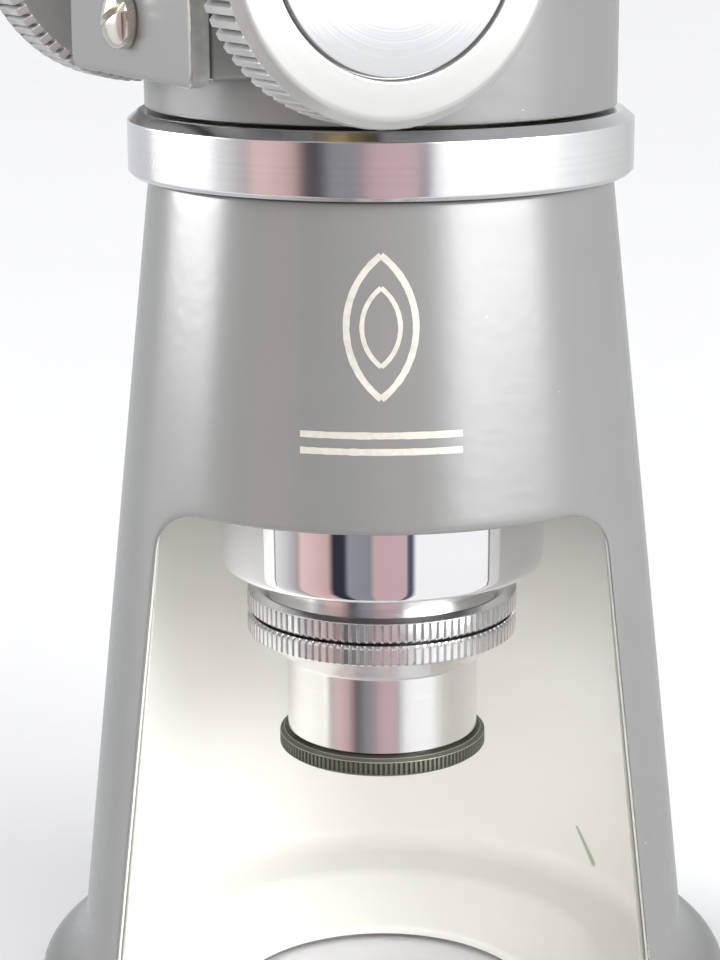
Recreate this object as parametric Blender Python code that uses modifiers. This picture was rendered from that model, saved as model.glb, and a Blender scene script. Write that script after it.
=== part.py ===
"""Hand-held field microscope: a cone-shaped stand with a front window, a swivelling head with rack focusing,
a draw tube carrying a screwed objective below and a push-fit eyepiece above. Metres, +Z up, the base's
underside on Z = 0 and the window facing -Y. Sizes are written in millimetres and scaled by MM."""

import math

import bmesh
import bpy
from mathutils import Vector

MM = 0.001

# ---- driving sizes, millimetres and degrees ----
STAND_HEIGHT = 91.1  # base underside to the shoulder that carries the clamp ring
STAND_TOP_R = 22.95  # cone radius at that shoulder
CONE_SLOPE = 0.1105  # radius gained for each millimetre down the cone
STAND_WALL = 2.1
BASE_FLARE = 4.19  # rim beyond the cone's own radius at the rim's height
BASE_EDGE_HEIGHT = 6.4
BASE_EDGE = 1.0  # narrow slope between the blend and the rim
BASE_BLEND_R = 6.5  # hollow fillet from the cone to the base's rim
BASE_CHAMFER = 0.6
FLOOR_HEIGHT = 6.0  # shelf inside, above the underside
FLOOR_FALL = 0.4  # across the shelf's width
FLOOR_SHELF_WIDTH = 7.0
FLOOR_LIP_HEIGHT = 1.5  # the dished floor's thickness at the viewing hole
VIEW_HOLE_R = 16.5
FLOOR_FILLET = 2.4
NECK_STEP = 1.75  # neck inside the cone's top radius
NECK_WALL = 2.0
NECK_HEIGHT = 5.5  # above the shoulder, inside the clamp ring
NECK_DEPTH = 7.1  # web below the shoulder

WINDOW_TOP = 60.0
WINDOW_BOTTOM = 7.6
WINDOW_TOP_SHARE = 0.8129  # half the window's width at its top, as a share of the cone's radius there
WINDOW_BOTTOM_SHARE = 0.8483
WINDOW_TOP_CORNER = 5.0
WINDOW_BOTTOM_CORNER = 4.0
WINDOW_DEPTH_START = 2.0  # the cut stays in front of the stand's middle plane

RING_PROUD = 2.05  # clamp ring beyond the cone's top radius
RING_FACE = 4.9
RING_TOP_CHAMFER = 0.9
RING_TOP_CHAMFER_WIDE = 1.1
RING_BOTTOM_CHAMFER = 0.45

HEAD_TURN = 27.5  # focus shaft, turned from the window's centre line
HEAD_PROUD = 0.3  # housing beyond the cone's top radius
HEAD_HEIGHT = 37.3
HEAD_WALL = 2.4
HEAD_TOP_PLATE = 3.0
HEAD_EDGE_R = 2.5
SPIGOT_DEPTH = 17.0  # below the housing's bottom edge
SPIGOT_STEP = 1.5  # turned down at the bottom for the retaining ring
SWIVEL_FLANGE = 2.8
RETAINER_HEIGHT = 2.6
RETAINER_OVERLAP = 1.9

TUBE_R = 10.5
TUBE_WALL = 1.9
TUBE_TOP_RISE = 18.5  # above the guide sleeve's flange
GUIDE_WALL = 2.2
GUIDE_FLANGE_INSET = 3.25  # flange inside the housing's radius
GUIDE_FLANGE = 2.2
GUIDE_FLANGE_CHAMFER = 0.5
GUIDE_SCREW_INSET = 3.2  # screw circle inside the flange's radius
GUIDE_SCREWS = 3
GUIDE_SCREW_HEAD_R = 1.9
GUIDE_SCREW_HEAD = 1.1
GUIDE_SCREW_R = 1.0
GUIDE_SCREW_GRIP = 2.2  # thread below the flange

GEAR_MODULE = 0.5
PINION_TEETH = 14
PINION_WIDTH = 3.8
PRESSURE_ANGLE = 20.0
PINION_ADDENDUM = 0.45
RACK_ADDENDUM = 0.4
DEDENDUM = 0.55
BACKLASH = 0.1  # taken off each tooth's thickness, on rack and pinion alike
RACK_TEETH = 19
RACK_END = 2.7  # plain length past the teeth, for the end screws
RACK_WIDTH = 4.0
RACK_PITCH_RISE = 1.0  # rack pitch line outside the tube's surface
RACK_SEAT = 0.9  # depth of the groove milled in the tube
RACK_SLOT_ROOM = 0.6  # each side of the rack in the guide sleeve
RACK_SCREW_R = 0.5
RACK_SCREW_HEAD_R = 0.8
RACK_SCREW_HEAD = 0.6
RACK_SCREW_LENGTH = 1.9
RACK_SCREW_SINK_R = 1.1
RACK_SCREW_SINK = 0.65
SHAFT_RISE = 16.6  # focus shaft above the housing's bottom edge
SHAFT_R = 2.0

BOX_PROUD = 1.15  # outer face of the rack box beyond the housing's radius
BOX_WIDTH = 28.8
BOX_HEIGHT = 24.8
PLATE_OVERHANG = 0.6
PLATE_THICKNESS = 1.9
PLATE_CORNER_R = 1.4
PLATE_SCREW_SPACING = 15.2
PLATE_SCREW_HEAD_R = 2.75
PLATE_SCREW_HEAD = 2.3
PLATE_SCREW_R = 1.5
PLATE_SCREW_GRIP = 5.5  # thread behind the plate
SCREW_SLOT_TURN = 28.0
BLOCK_WIDTH = 17.4
BLOCK_HEIGHT = 8.6
BLOCK_INNER_GAP = 0.35  # bearing block's inner face to the guide sleeve

KNOB_R = 15.7
KNOB_LENGTH = 9.2
KNOB_GAP = 0.5  # between a knob and the housing's widest point
KNOB_CHAMFER = 0.9
KNOB_RECESS_R = 11.5
KNOB_RECESS = 0.9
INLAY_THICKNESS = 0.55
KNOB_NUT_R = 3.4
KNOB_NUT = 1.8
KNOB_NUT_ROOM = 1.0  # round the nut, for a box spanner
KNOB_NUT_COVER = 1.4  # above the nut's seat, below the knob's sunk face
SHAFT_END = 1.2  # shaft ends below the knob's sunk face
BUSH_R = 4.0
BUSH_INSET = 1.5  # bush's inner end to the bearing block

COLLAR_R = 16.7
COLLAR_HEIGHT = 18.6
COLLAR_DROP = 45.6  # clamp ring's upper edge to the collar's lower edge
COLLAR_CAVITY_SHARE = 0.29  # of the way from the tube's radius to the collar's
COLLAR_TOP_WALL = 5.0
TUBE_TAIL = 2.0  # tube's end below the collar's top wall
COLLAR_EDGE_R = 0.9

KNURL_R = 13.98
KNURL_BEVEL = 0.35
NECK_GAP = 2.4  # collar to the upper knurled ring
ADAPTER_KNURL = 2.45
ADAPTER_STEM_GAP = 0.6  # adapter's stem in the collar's cavity
ADAPTER_STEM_HEIGHT = 9.0
OBJECTIVE_KNURL = 2.2
OBJECTIVE_BEVEL = 2.6
BEVEL_SHOULDER = 1.2  # the bevel's start inside the knurl's radius
BEVEL_TOE = 0.6  # the bevel's end outside the barrel's radius
BEVEL_EASE = 0.5
OBJECTIVE_STEM_R = 8.7
OBJECTIVE_STEM_HEIGHT = 8.0
BARREL_R = 9.9
BARREL_LENGTH = 8.2
BARREL_BORE_R = 7.6
FRONT_RING_R = 10.77
FRONT_RING_HEIGHT = 1.9
FRONT_RING_WALL = 1.55
FRONT_RING_BEVEL = 0.3
FRONT_LIP = 0.5
FRONT_APERTURE_R = 6.4
FRONT_LENS_SET = 0.6  # front lens above the barrel's lower end
FRONT_LENS_EDGE = 2.0
FRONT_LENS_BULGE = 0.9
LENS_SPACING = 4.5
SPACER_WALL = 0.9
REAR_LENS_EDGE = 2.2
REAR_LENS_BULGE = 0.8
REAR_LENS_HOLLOW = 0.3
RETAINER_RING_WALL = 1.2
RETAINER_RING_HEIGHT = 1.6

EYE_BODY_R = 12.9
EYE_BODY_HEIGHT = 9.0
EYE_STEM_DEPTH = 22.0
EYE_STEM_WALL = 1.0
EYE_STEP = 2.2  # neck for the eyecup inside the body's radius
EYE_NECK = 4.0
EYE_LENS_DROP = 3.2  # eye lens's lower edge below the body's top
EYE_LENS_EDGE = 1.6
EYE_LENS_BULGE = 1.0
EYE_LENS_RING = 1.4
FIELD_STOP_DROP = 9.0  # below the tube's top
FIELD_STOP_HEIGHT = 1.2
FIELD_STOP_WALL = 2.4
FIELD_LENS_SET = 2.6  # above the stem's lower end
FIELD_LENS_EDGE = 1.8
FIELD_LENS_BULGE = 1.1
FIELD_LENS_RING = 1.5
TOP_RING_R = 12.9
TOP_RING_HEIGHT = 6.5
TOP_RING_EDGE = 0.5
EYECUP_R = 14.6
EYECUP_HEIGHT = 9.5
EYECUP_HOLE_R = 5.2
EYECUP_FLOOR = 1.0
EYECUP_RIM_OUT = 2.6  # top of the rim inside the cup's radius
EYECUP_RIM_IN = 4.2  # start of the bowl inside the cup's radius
EYECUP_BOWL = 1.6  # bowl below the rim
EYECUP_EDGE = 0.8

# ---- clearances, millimetres ----
SEAT_GAP = 0.3  # between pieces that touch
TURN_GAP = 0.15  # round pieces that turn or slide in each other
SCREW_GAP = 0.3

# ---- facets round a full turn ----
LARGE_STEPS = 40
MEDIUM_STEPS = 24
SMALL_STEPS = 12

def cone_radius(height):
    return STAND_TOP_R + CONE_SLOPE * (STAND_HEIGHT - height)


# ---- heights and radii that follow from the sizes above ----
base_r = cone_radius(BASE_EDGE_HEIGHT) + BASE_FLARE
window_half_top = WINDOW_TOP_SHARE * cone_radius(WINDOW_TOP)
window_half_bottom = WINDOW_BOTTOM_SHARE * cone_radius(WINDOW_BOTTOM)
PITCH_R = GEAR_MODULE * PINION_TEETH / 2
ring_bottom = STAND_HEIGHT - RING_BOTTOM_CHAMFER
ring_edge = STAND_HEIGHT + RING_FACE
ring_top = ring_edge + RING_TOP_CHAMFER
ring_r = STAND_TOP_R + RING_PROUD
shoulder = ring_bottom - SEAT_GAP
web = shoulder - NECK_DEPTH
neck_r = STAND_TOP_R - NECK_STEP
neck_bore = neck_r - NECK_WALL
head_r = STAND_TOP_R + HEAD_PROUD
head_bottom = ring_top + SEAT_GAP
head_top = head_bottom + HEAD_HEIGHT
head_bore = head_r - HEAD_WALL
guide_bore = TUBE_R + TURN_GAP
guide_r = guide_bore + GUIDE_WALL
guide_flange_r = head_r - GUIDE_FLANGE_INSET
guide_screw_circle = guide_flange_r - GUIDE_SCREW_INSET
guide_top = head_top + SEAT_GAP + GUIDE_FLANGE
rack_pitch_x = TUBE_R + RACK_PITCH_RISE
pinion_x = rack_pitch_x + PITCH_R
shaft_height = head_bottom + SHAFT_RISE
slot_half = RACK_WIDTH / 2 + RACK_SLOT_ROOM
box_reach = head_r + BOX_PROUD
block_inner = guide_r + BLOCK_INNER_GAP
plate_inner = box_reach + SEAT_GAP
knob_inner = head_r + KNOB_GAP
knob_face = knob_inner + KNOB_LENGTH
collar_bottom = ring_edge - COLLAR_DROP
collar_top = collar_bottom + COLLAR_HEIGHT
collar_cavity = TUBE_R + COLLAR_CAVITY_SHARE * (COLLAR_R - TUBE_R)
adapter_stem_r = collar_cavity - ADAPTER_STEM_GAP
tube_top = guide_top + TUBE_TOP_RISE
adapter_top = collar_bottom - NECK_GAP
adapter_bottom = adapter_top - ADAPTER_KNURL
objective_top = adapter_bottom - SEAT_GAP
knurl_bottom = objective_top - OBJECTIVE_KNURL
bevel_bottom = knurl_bottom - OBJECTIVE_BEVEL
barrel_bottom = bevel_bottom - BARREL_LENGTH
front_ring_bottom = barrel_bottom - FRONT_RING_HEIGHT
eye_seat = tube_top + SEAT_GAP
eye_body_top = eye_seat + EYE_BODY_HEIGHT
eye_stem_r = TUBE_R - TUBE_WALL - TURN_GAP
eye_bore = eye_stem_r - EYE_STEM_WALL


# ---- scene, collections and materials ----
for old in list(bpy.data.objects):
    bpy.data.objects.remove(old, do_unlink=True)

parts = bpy.data.collections.new("microscope")
cutters = bpy.data.collections.new("cutters")
cutters.hide_render = True
for collection in (parts, cutters):
    bpy.context.scene.collection.children.link(collection)


def material(name, colour, roughness, metallic, alpha=1.0):
    made = bpy.data.materials.new(name)
    made.use_nodes = True
    shader = made.node_tree.nodes["Principled BSDF"]
    shader.inputs["Base Color"].default_value = (*colour, 1.0)
    shader.inputs["Roughness"].default_value = roughness
    shader.inputs["Metallic"].default_value = metallic
    shader.inputs["Alpha"].default_value = alpha
    return made


GREY_ENAMEL = material("grey_enamel", (0.30, 0.30, 0.285), 0.35, 0.0)
BRIGHT_ALUMINIUM = material("bright_aluminium", (0.82, 0.82, 0.83), 0.25, 1.0)
CHROME = material("chrome", (0.88, 0.88, 0.90), 0.06, 1.0)
DARK_RING = material("dark_bronze", (0.13, 0.13, 0.10), 0.45, 0.7)
BRASS = material("brass", (0.78, 0.60, 0.30), 0.35, 1.0)
STEEL = material("steel", (0.60, 0.60, 0.61), 0.35, 1.0)
NICKEL = material("nickel", (0.78, 0.76, 0.73), 0.15, 1.0)
KNOB_GREY = material("knob_grey", (0.62, 0.62, 0.60), 0.45, 0.3)
BLACK = material("black", (0.02, 0.02, 0.02), 0.4, 0.0)
GLASS = material("glass", (0.95, 0.97, 0.97), 0.02, 0.0, alpha=0.35)


# ---- places: each empty is an axis that pieces turn or slide on ----
def axis_empty(name, place, turn=(0.0, 0.0, 0.0), parent=None):
    empty = bpy.data.objects.new(name, None)
    empty.empty_display_size = 10 * MM
    empty.location = Vector(place) * MM
    empty.rotation_euler = turn
    empty.parent = parent
    parts.objects.link(empty)
    return empty


stand_axis = axis_empty("stand_axis", (0, 0, 0))
head_axis = axis_empty("head_axis", (0, 0, 0), (0, 0, math.radians(HEAD_TURN)), stand_axis)
tube_axis = axis_empty("tube_axis", (0, 0, 0), parent=head_axis)
shaft_axis = axis_empty("shaft_axis", (-pinion_x, 0, shaft_height), (math.radians(90), 0, 0), head_axis)


# ---- shape helpers ----
def place(obj, parent, group, finish=None):
    obj.parent = parent
    group.objects.link(obj)
    if finish:
        obj.data.materials.append(finish)
    return obj


def turned(name, profile, steps, finish, parent, closed=True, group=parts):
    """A lathe piece about the parent's Z. The profile's (radius, height) points run down the outer side."""
    mesh = bpy.data.meshes.new(name)
    points = [(r * MM, 0.0, z * MM) for r, z in profile]
    edges = [(i, i + 1) for i in range(len(points) - 1)]
    if closed:
        edges.append((len(points) - 1, 0))
    mesh.from_pydata(points, edges, [])
    obj = place(bpy.data.objects.new(name, mesh), parent, group, finish)
    screw = obj.modifiers.new("lathe", "SCREW")
    screw.steps = steps
    screw.render_steps = steps
    screw.use_merge_vertices = True
    screw.merge_threshold = 1e-6
    screw.use_smooth_shade = True
    return obj


def block(name, low, high, finish, parent, group=parts, bevel=0.0):
    """A box between two corners, with rounded edges where bevel is given."""
    mesh = bpy.data.meshes.new(name)
    shape = bmesh.new()
    bmesh.ops.create_cube(shape, size=1.0)
    size = [b - a for a, b in zip(low, high)]
    middle = [(a + b) / 2 for a, b in zip(low, high)]
    for vertex in shape.verts:
        vertex.co = Vector((c * s + m) * MM for c, s, m in zip(vertex.co, size, middle))
    shape.to_mesh(mesh)
    shape.free()
    obj = place(bpy.data.objects.new(name, mesh), parent, group, finish)
    if bevel:
        edge = obj.modifiers.new("edges", "BEVEL")
        edge.width = bevel * MM
        edge.segments = 2
    return obj


def rod(name, radius, start, end, parent, along="Z", centre=(0.0, 0.0), steps=MEDIUM_STEPS,
        finish=None, group=cutters):
    """A plain round bar between two distances along an axis of the parent."""
    mesh = bpy.data.meshes.new(name)
    shape = bmesh.new()
    bmesh.ops.create_cone(shape, cap_ends=True, segments=steps, radius1=radius * MM,
                          radius2=radius * MM, depth=(end - start) * MM)
    shape.to_mesh(mesh)
    shape.free()
    obj = place(bpy.data.objects.new(name, mesh), parent, group, finish)
    middle = (start + end) / 2
    if along == "Z":
        obj.location = Vector((centre[0], centre[1], middle)) * MM
    elif along == "Y":
        obj.location = Vector((centre[0], middle, centre[1])) * MM
        obj.rotation_euler = (math.radians(90), 0, 0)
    else:
        obj.location = Vector((middle, centre[0], centre[1])) * MM
        obj.rotation_euler = (0, math.radians(90), 0)
    return obj


def flat_piece(name, outline, thickness, finish, parent, group=parts):
    """A plate of this outline in its own XY plane, half its thickness each side."""
    curve = bpy.data.curves.new(name + "_outline", "CURVE")
    curve.dimensions = "2D"
    curve.fill_mode = "BOTH"
    curve.extrude = thickness / 2 * MM
    spline = curve.splines.new("POLY")
    spline.points.add(len(outline) - 1)
    for point, (x, y) in zip(spline.points, outline):
        point.co = (x * MM, y * MM, 0.0, 1.0)
    spline.use_cyclic_u = True
    drawn = bpy.data.objects.new(name + "_curve", curve)
    cutters.objects.link(drawn)
    graph = bpy.context.evaluated_depsgraph_get()
    mesh = bpy.data.meshes.new_from_object(drawn.evaluated_get(graph))
    bpy.data.objects.remove(drawn)
    shape = bmesh.new()
    shape.from_mesh(mesh)
    bmesh.ops.remove_doubles(shape, verts=shape.verts, dist=1e-6)
    bmesh.ops.recalc_face_normals(shape, faces=shape.faces)
    shape.to_mesh(mesh)
    shape.free()
    return place(bpy.data.objects.new(name, mesh), parent, group, finish)


def helper(obj):
    obj.hide_render = True
    obj.display_type = "WIRE"
    return obj


def boolean(obj, tool, operation="DIFFERENCE"):
    helper(tool)
    change = obj.modifiers.new(operation.lower(), "BOOLEAN")
    change.operation = operation
    change.object = tool
    change.solver = "EXACT"


def arc(centre, radius, start, end, steps):
    """Points along an arc, angles in degrees from +X, counter-clockwise where end is above start."""
    found = []
    for i in range(steps + 1):
        angle = math.radians(start + (end - start) * i / steps)
        found.append((centre[0] + radius * math.cos(angle), centre[1] + radius * math.sin(angle)))
    return found


def rounded_outline(corners, radii, steps=6):
    """A polygon's outline with each corner rounded by its own radius."""
    found = []
    count = len(corners)
    for i, radius in enumerate(radii):
        here = Vector(corners[i])
        before = (Vector(corners[i - 1]) - here).normalized()
        after = (Vector(corners[(i + 1) % count]) - here).normalized()
        half = before.angle(after) / 2
        reach = radius / math.tan(half)
        centre = here + (before + after).normalized() * (radius / math.sin(half))
        first = here + before * reach - centre
        last = here + after * reach - centre
        turn = math.atan2(first.x * last.y - first.y * last.x, first.dot(last))
        for k in range(steps + 1):
            angle = turn * k / steps
            x = centre.x + first.x * math.cos(angle) - first.y * math.sin(angle)
            y = centre.y + first.x * math.sin(angle) + first.y * math.cos(angle)
            found.append((x, y))
    return found


# ---- stand: one casting, a hollow cone on a round base with a dished floor ----
def stand():
    fillet_top = BASE_EDGE_HEIGHT + FLOOR_FALL + BASE_BLEND_R
    centre = (cone_radius(fillet_top) + BASE_BLEND_R, fillet_top)
    blend_end = 180 + math.degrees(math.acos((centre[0] - (base_r - BASE_EDGE)) / BASE_BLEND_R))
    blend = arc(centre, BASE_BLEND_R, 180, blend_end, 5)
    inner_foot = cone_radius(FLOOR_HEIGHT + FLOOR_FILLET) - STAND_WALL
    shelf_end = inner_foot - FLOOR_SHELF_WIDTH
    profile = [(neck_r, STAND_HEIGHT + NECK_HEIGHT), (neck_r, shoulder), (cone_radius(shoulder), shoulder)]
    profile += blend
    profile += [(base_r, BASE_EDGE_HEIGHT), (base_r, BASE_CHAMFER), (base_r - BASE_CHAMFER, 0.0)]
    profile += [(VIEW_HOLE_R + BASE_CHAMFER, 0.0), (VIEW_HOLE_R, BASE_CHAMFER)]
    profile += [(VIEW_HOLE_R, FLOOR_LIP_HEIGHT), (shelf_end, FLOOR_HEIGHT - FLOOR_FALL)]
    corner = (inner_foot - FLOOR_FILLET, FLOOR_HEIGHT + FLOOR_FILLET)
    profile += arc(corner, FLOOR_FILLET, 270, 360, 3)
    profile += [(cone_radius(web) - STAND_WALL, web), (neck_bore, web)]
    profile += [(neck_bore, STAND_HEIGHT + NECK_HEIGHT)]
    casting = turned("stand_casting", profile, LARGE_STEPS, GREY_ENAMEL, stand_axis)

    corners = [(-window_half_bottom, WINDOW_BOTTOM), (window_half_bottom, WINDOW_BOTTOM),
               (window_half_top, WINDOW_TOP), (-window_half_top, WINDOW_TOP)]
    radii = [WINDOW_BOTTOM_CORNER, WINDOW_BOTTOM_CORNER, WINDOW_TOP_CORNER, WINDOW_TOP_CORNER]
    depth = base_r + 10.0
    window = flat_piece("window_cutter", rounded_outline(corners, radii), depth, None, stand_axis, cutters)
    window.rotation_euler = (math.radians(90), 0, 0)
    window.location = Vector((0, -(WINDOW_DEPTH_START + depth / 2), 0)) * MM
    boolean(casting, window)

    turned("clamp_ring", [
        (ring_r - RING_TOP_CHAMFER_WIDE, ring_top), (ring_r, ring_edge), (ring_r, STAND_HEIGHT),
        (ring_r - RING_BOTTOM_CHAMFER, ring_bottom), (neck_r + SEAT_GAP, ring_bottom),
        (neck_r + SEAT_GAP, ring_top)], LARGE_STEPS, BRIGHT_ALUMINIUM, stand_axis)


# ---- head: housing with its rack box, swivel spigot and guide sleeve ----
def head():
    housing = turned("head_housing", [
        (guide_r + SEAT_GAP, head_top)] + arc((head_r - HEAD_EDGE_R, head_top - HEAD_EDGE_R), HEAD_EDGE_R,
                                              90, 0, 3) + [
        (head_r, head_bottom), (head_bore, head_bottom), (head_bore, head_top - HEAD_TOP_PLATE),
        (guide_r + SEAT_GAP, head_top - HEAD_TOP_PLATE)], LARGE_STEPS, GREY_ENAMEL, head_axis)
    low = shaft_height - BOX_HEIGHT / 2
    high = shaft_height + BOX_HEIGHT / 2
    box = block("rack_box", (-box_reach, -BOX_WIDTH / 2, low), (-(head_bore - 6.0), BOX_WIDTH / 2, high),
                GREY_ENAMEL, head_axis, cutters)
    boolean(housing, box, "UNION")
    pocket_half = BLOCK_WIDTH / 2 + SEAT_GAP
    pocket_high = BLOCK_HEIGHT / 2 + SEAT_GAP
    pocket = block("pinion_pocket", (-(box_reach + 5), -pocket_half, shaft_height - pocket_high),
                   (0, pocket_half, shaft_height + pocket_high), None, head_axis, cutters)
    boolean(housing, pocket)
    clear = rod("guide_room", guide_r + SEAT_GAP, head_bottom - 5, head_top + 5, head_axis, steps=LARGE_STEPS)
    boolean(housing, clear)
    reach = head_r + 15
    bush_hole = rod("bush_hole", BUSH_R + SEAT_GAP, -reach, reach, head_axis, "Y", (-pinion_x, shaft_height))
    boolean(housing, bush_hole)
    for side, name in ((-1, "lower"), (1, "upper")):
        height = shaft_height + side * PLATE_SCREW_SPACING / 2
        hole = rod(f"plate_screw_hole_{name}", PLATE_SCREW_R + SCREW_GAP, -(box_reach + 5),
                   -(box_reach - PLATE_SCREW_GRIP - 1), head_axis, "X", (0.0, height), SMALL_STEPS)
        boolean(housing, hole)
    for i in range(GUIDE_SCREWS):
        angle = math.radians(360 / GUIDE_SCREWS * (i + 0.5))
        spot = (guide_screw_circle * math.cos(angle), guide_screw_circle * math.sin(angle))
        hole = rod(f"guide_screw_hole_{i + 1}", GUIDE_SCREW_R + SCREW_GAP, head_top - HEAD_TOP_PLATE - 2,
                   head_top + 5, head_axis, "Z", spot, SMALL_STEPS)
        boolean(housing, hole)

    spigot_r = neck_bore - TURN_GAP
    spigot_bottom = head_bottom - SPIGOT_DEPTH
    step = spigot_bottom + RETAINER_HEIGHT
    spigot_bore = guide_r + SEAT_GAP
    step_r = spigot_r - SPIGOT_STEP
    turned("swivel_spigot", [
        (head_bore - SEAT_GAP, head_bottom + SWIVEL_FLANGE), (head_bore - SEAT_GAP, head_bottom),
        (spigot_r, head_bottom), (spigot_r, step), (step_r, step), (step_r, spigot_bottom),
        (spigot_bore, spigot_bottom), (spigot_bore, head_bottom + SWIVEL_FLANGE)],
        LARGE_STEPS, BRASS, head_axis)
    retainer_top = min(step, web) - SEAT_GAP
    turned("swivel_retaining_ring", [
        (neck_bore + RETAINER_OVERLAP, retainer_top), (neck_bore + RETAINER_OVERLAP, spigot_bottom),
        (step_r + SEAT_GAP, spigot_bottom), (step_r + SEAT_GAP, retainer_top)],
        MEDIUM_STEPS, STEEL, head_axis)

    sleeve_bottom = head_bottom + SEAT_GAP
    flange_bottom = head_top + SEAT_GAP
    guide = turned("guide_sleeve", [
        (guide_flange_r - GUIDE_FLANGE_CHAMFER, guide_top), (guide_flange_r, guide_top - GUIDE_FLANGE_CHAMFER),
        (guide_flange_r, flange_bottom),
        (guide_r, flange_bottom), (guide_r, sleeve_bottom), (guide_bore, sleeve_bottom),
        (guide_bore, guide_top)], MEDIUM_STEPS, BRIGHT_ALUMINIUM, head_axis)
    slot = block("rack_slot", (-(guide_r + 1.0), -slot_half, sleeve_bottom - 5),
                 (-TUBE_R / 2, slot_half, guide_top + 5), None, head_axis, cutters)
    boolean(guide, slot)
    for i in range(GUIDE_SCREWS):
        angle = math.radians(360 / GUIDE_SCREWS * (i + 0.5))
        spot = (guide_screw_circle * math.cos(angle), guide_screw_circle * math.sin(angle))
        hole = rod(f"flange_screw_hole_{i + 1}", GUIDE_SCREW_R + SCREW_GAP, flange_bottom - 2, guide_top + 5,
                   head_axis, "Z", spot, SMALL_STEPS)
        boolean(guide, hole)
        place_empty = axis_empty(f"guide_screw_axis_{i + 1}", (*spot, guide_top), parent=head_axis)
        slotted_screw(f"guide_screw_{i + 1}", GUIDE_SCREW_HEAD_R, GUIDE_SCREW_HEAD, GUIDE_SCREW_R,
                      GUIDE_FLANGE + GUIDE_SCREW_GRIP, NICKEL, place_empty)


def slotted_screw(name, head_radius, head_height, shank_radius, shank_length, finish, parent):
    """A round-head screw: its head stands on the parent's XY plane and its shank runs down -Z."""
    crown = head_height * 0.55
    rise = head_height - crown
    dome = [(head_radius * math.sin(math.radians(a)), crown + rise * math.cos(math.radians(a)))
            for a in (0, 30, 60, 90)]
    profile = dome + [(head_radius, SEAT_GAP), (shank_radius, SEAT_GAP), (shank_radius, -shank_length),
                      (0.0, -shank_length)]
    screw = turned(name, profile, SMALL_STEPS, finish, parent, closed=False)
    half = head_radius * 0.14
    slot = block(name + "_slot", (-head_radius * 1.3, -half, head_height * 0.55),
                 (head_radius * 1.3, half, head_height * 2), None, parent, cutters)
    slot.rotation_euler = (0, 0, math.radians(SCREW_SLOT_TURN))
    boolean(screw, slot)
    return screw


# ---- cover plate over the rack box, with its two screws, and the bearing block it presses on ----
def cover():
    half_width = BOX_WIDTH / 2 + PLATE_OVERHANG
    half_height = BOX_HEIGHT / 2 + PLATE_OVERHANG
    corners = [(-half_width, -half_height), (half_width, -half_height),
               (half_width, half_height), (-half_width, half_height)]
    plate = flat_piece("rack_cover_plate", rounded_outline(corners, [PLATE_CORNER_R] * 4, 4),
                       PLATE_THICKNESS, GREY_ENAMEL, head_axis)
    plate.rotation_euler = (math.radians(90), 0, math.radians(-90))
    plate.location = Vector((-(plate_inner + PLATE_THICKNESS / 2), 0, shaft_height)) * MM
    for side, name in ((-1, "lower"), (1, "upper")):
        height = shaft_height + side * PLATE_SCREW_SPACING / 2
        hole = rod(f"plate_hole_{name}", PLATE_SCREW_R + SCREW_GAP, -(plate_inner + 5), -(plate_inner - 2),
                   head_axis, "X", (0.0, height), SMALL_STEPS)
        boolean(plate, hole)
        seat = axis_empty(f"plate_screw_axis_{name}", (-(plate_inner + PLATE_THICKNESS), 0, height),
                          (0, math.radians(-90), 0), head_axis)
        slotted_screw(f"cover_screw_{name}", PLATE_SCREW_HEAD_R, PLATE_SCREW_HEAD, PLATE_SCREW_R,
                      PLATE_THICKNESS + PLATE_SCREW_GRIP, NICKEL, seat)

    body = block("pinion_bearing_block", (-box_reach, -BLOCK_WIDTH / 2, shaft_height - BLOCK_HEIGHT / 2),
                 (-block_inner, BLOCK_WIDTH / 2, shaft_height + BLOCK_HEIGHT / 2), BRASS, head_axis)
    room = PITCH_R + PINION_ADDENDUM + 0.5
    slot = block("pinion_room", (-(pinion_x + room), -(PINION_WIDTH / 2 + 0.4), shaft_height - 20),
                 (0, PINION_WIDTH / 2 + 0.4, shaft_height + 20), None, head_axis, cutters)
    boolean(body, slot)
    bore = rod("bearing_bore", SHAFT_R + TURN_GAP, -BLOCK_WIDTH, BLOCK_WIDTH, head_axis, "Y",
               (-pinion_x, shaft_height), SMALL_STEPS * 2)
    boolean(body, bore)


# ---- focus shaft: pinion, shaft, bushes, and a knob with its nut and inlay at each end ----
def involute(base, radius):
    """Angle turned through by an involute from its base circle out to a radius."""
    if radius <= base:
        return 0.0
    roll = math.sqrt((radius / base) ** 2 - 1)
    return roll - math.atan(roll)


def pinion_outline():
    """Spur gear outline: involute flanks above the base circle, radial below it."""
    base = PITCH_R * math.cos(math.radians(PRESSURE_ANGLE))
    tip = PITCH_R + PINION_ADDENDUM
    root = PITCH_R - DEDENDUM
    half_tooth = (math.pi * GEAR_MODULE / 2 - BACKLASH) / 2 / PITCH_R
    at_pitch = involute(base, PITCH_R)
    radii = [root] + [base + (tip - base) * k / 3 for k in range(4)]
    found = []
    for tooth in range(PINION_TEETH):
        middle = 2 * math.pi * tooth / PINION_TEETH
        flank = [(r, half_tooth + at_pitch - involute(base, r)) for r in radii]
        for r, half in flank:
            found.append((r * math.cos(middle - half), r * math.sin(middle - half)))
        for r, half in reversed(flank):
            found.append((r * math.cos(middle + half), r * math.sin(middle + half)))
    return found


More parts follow.
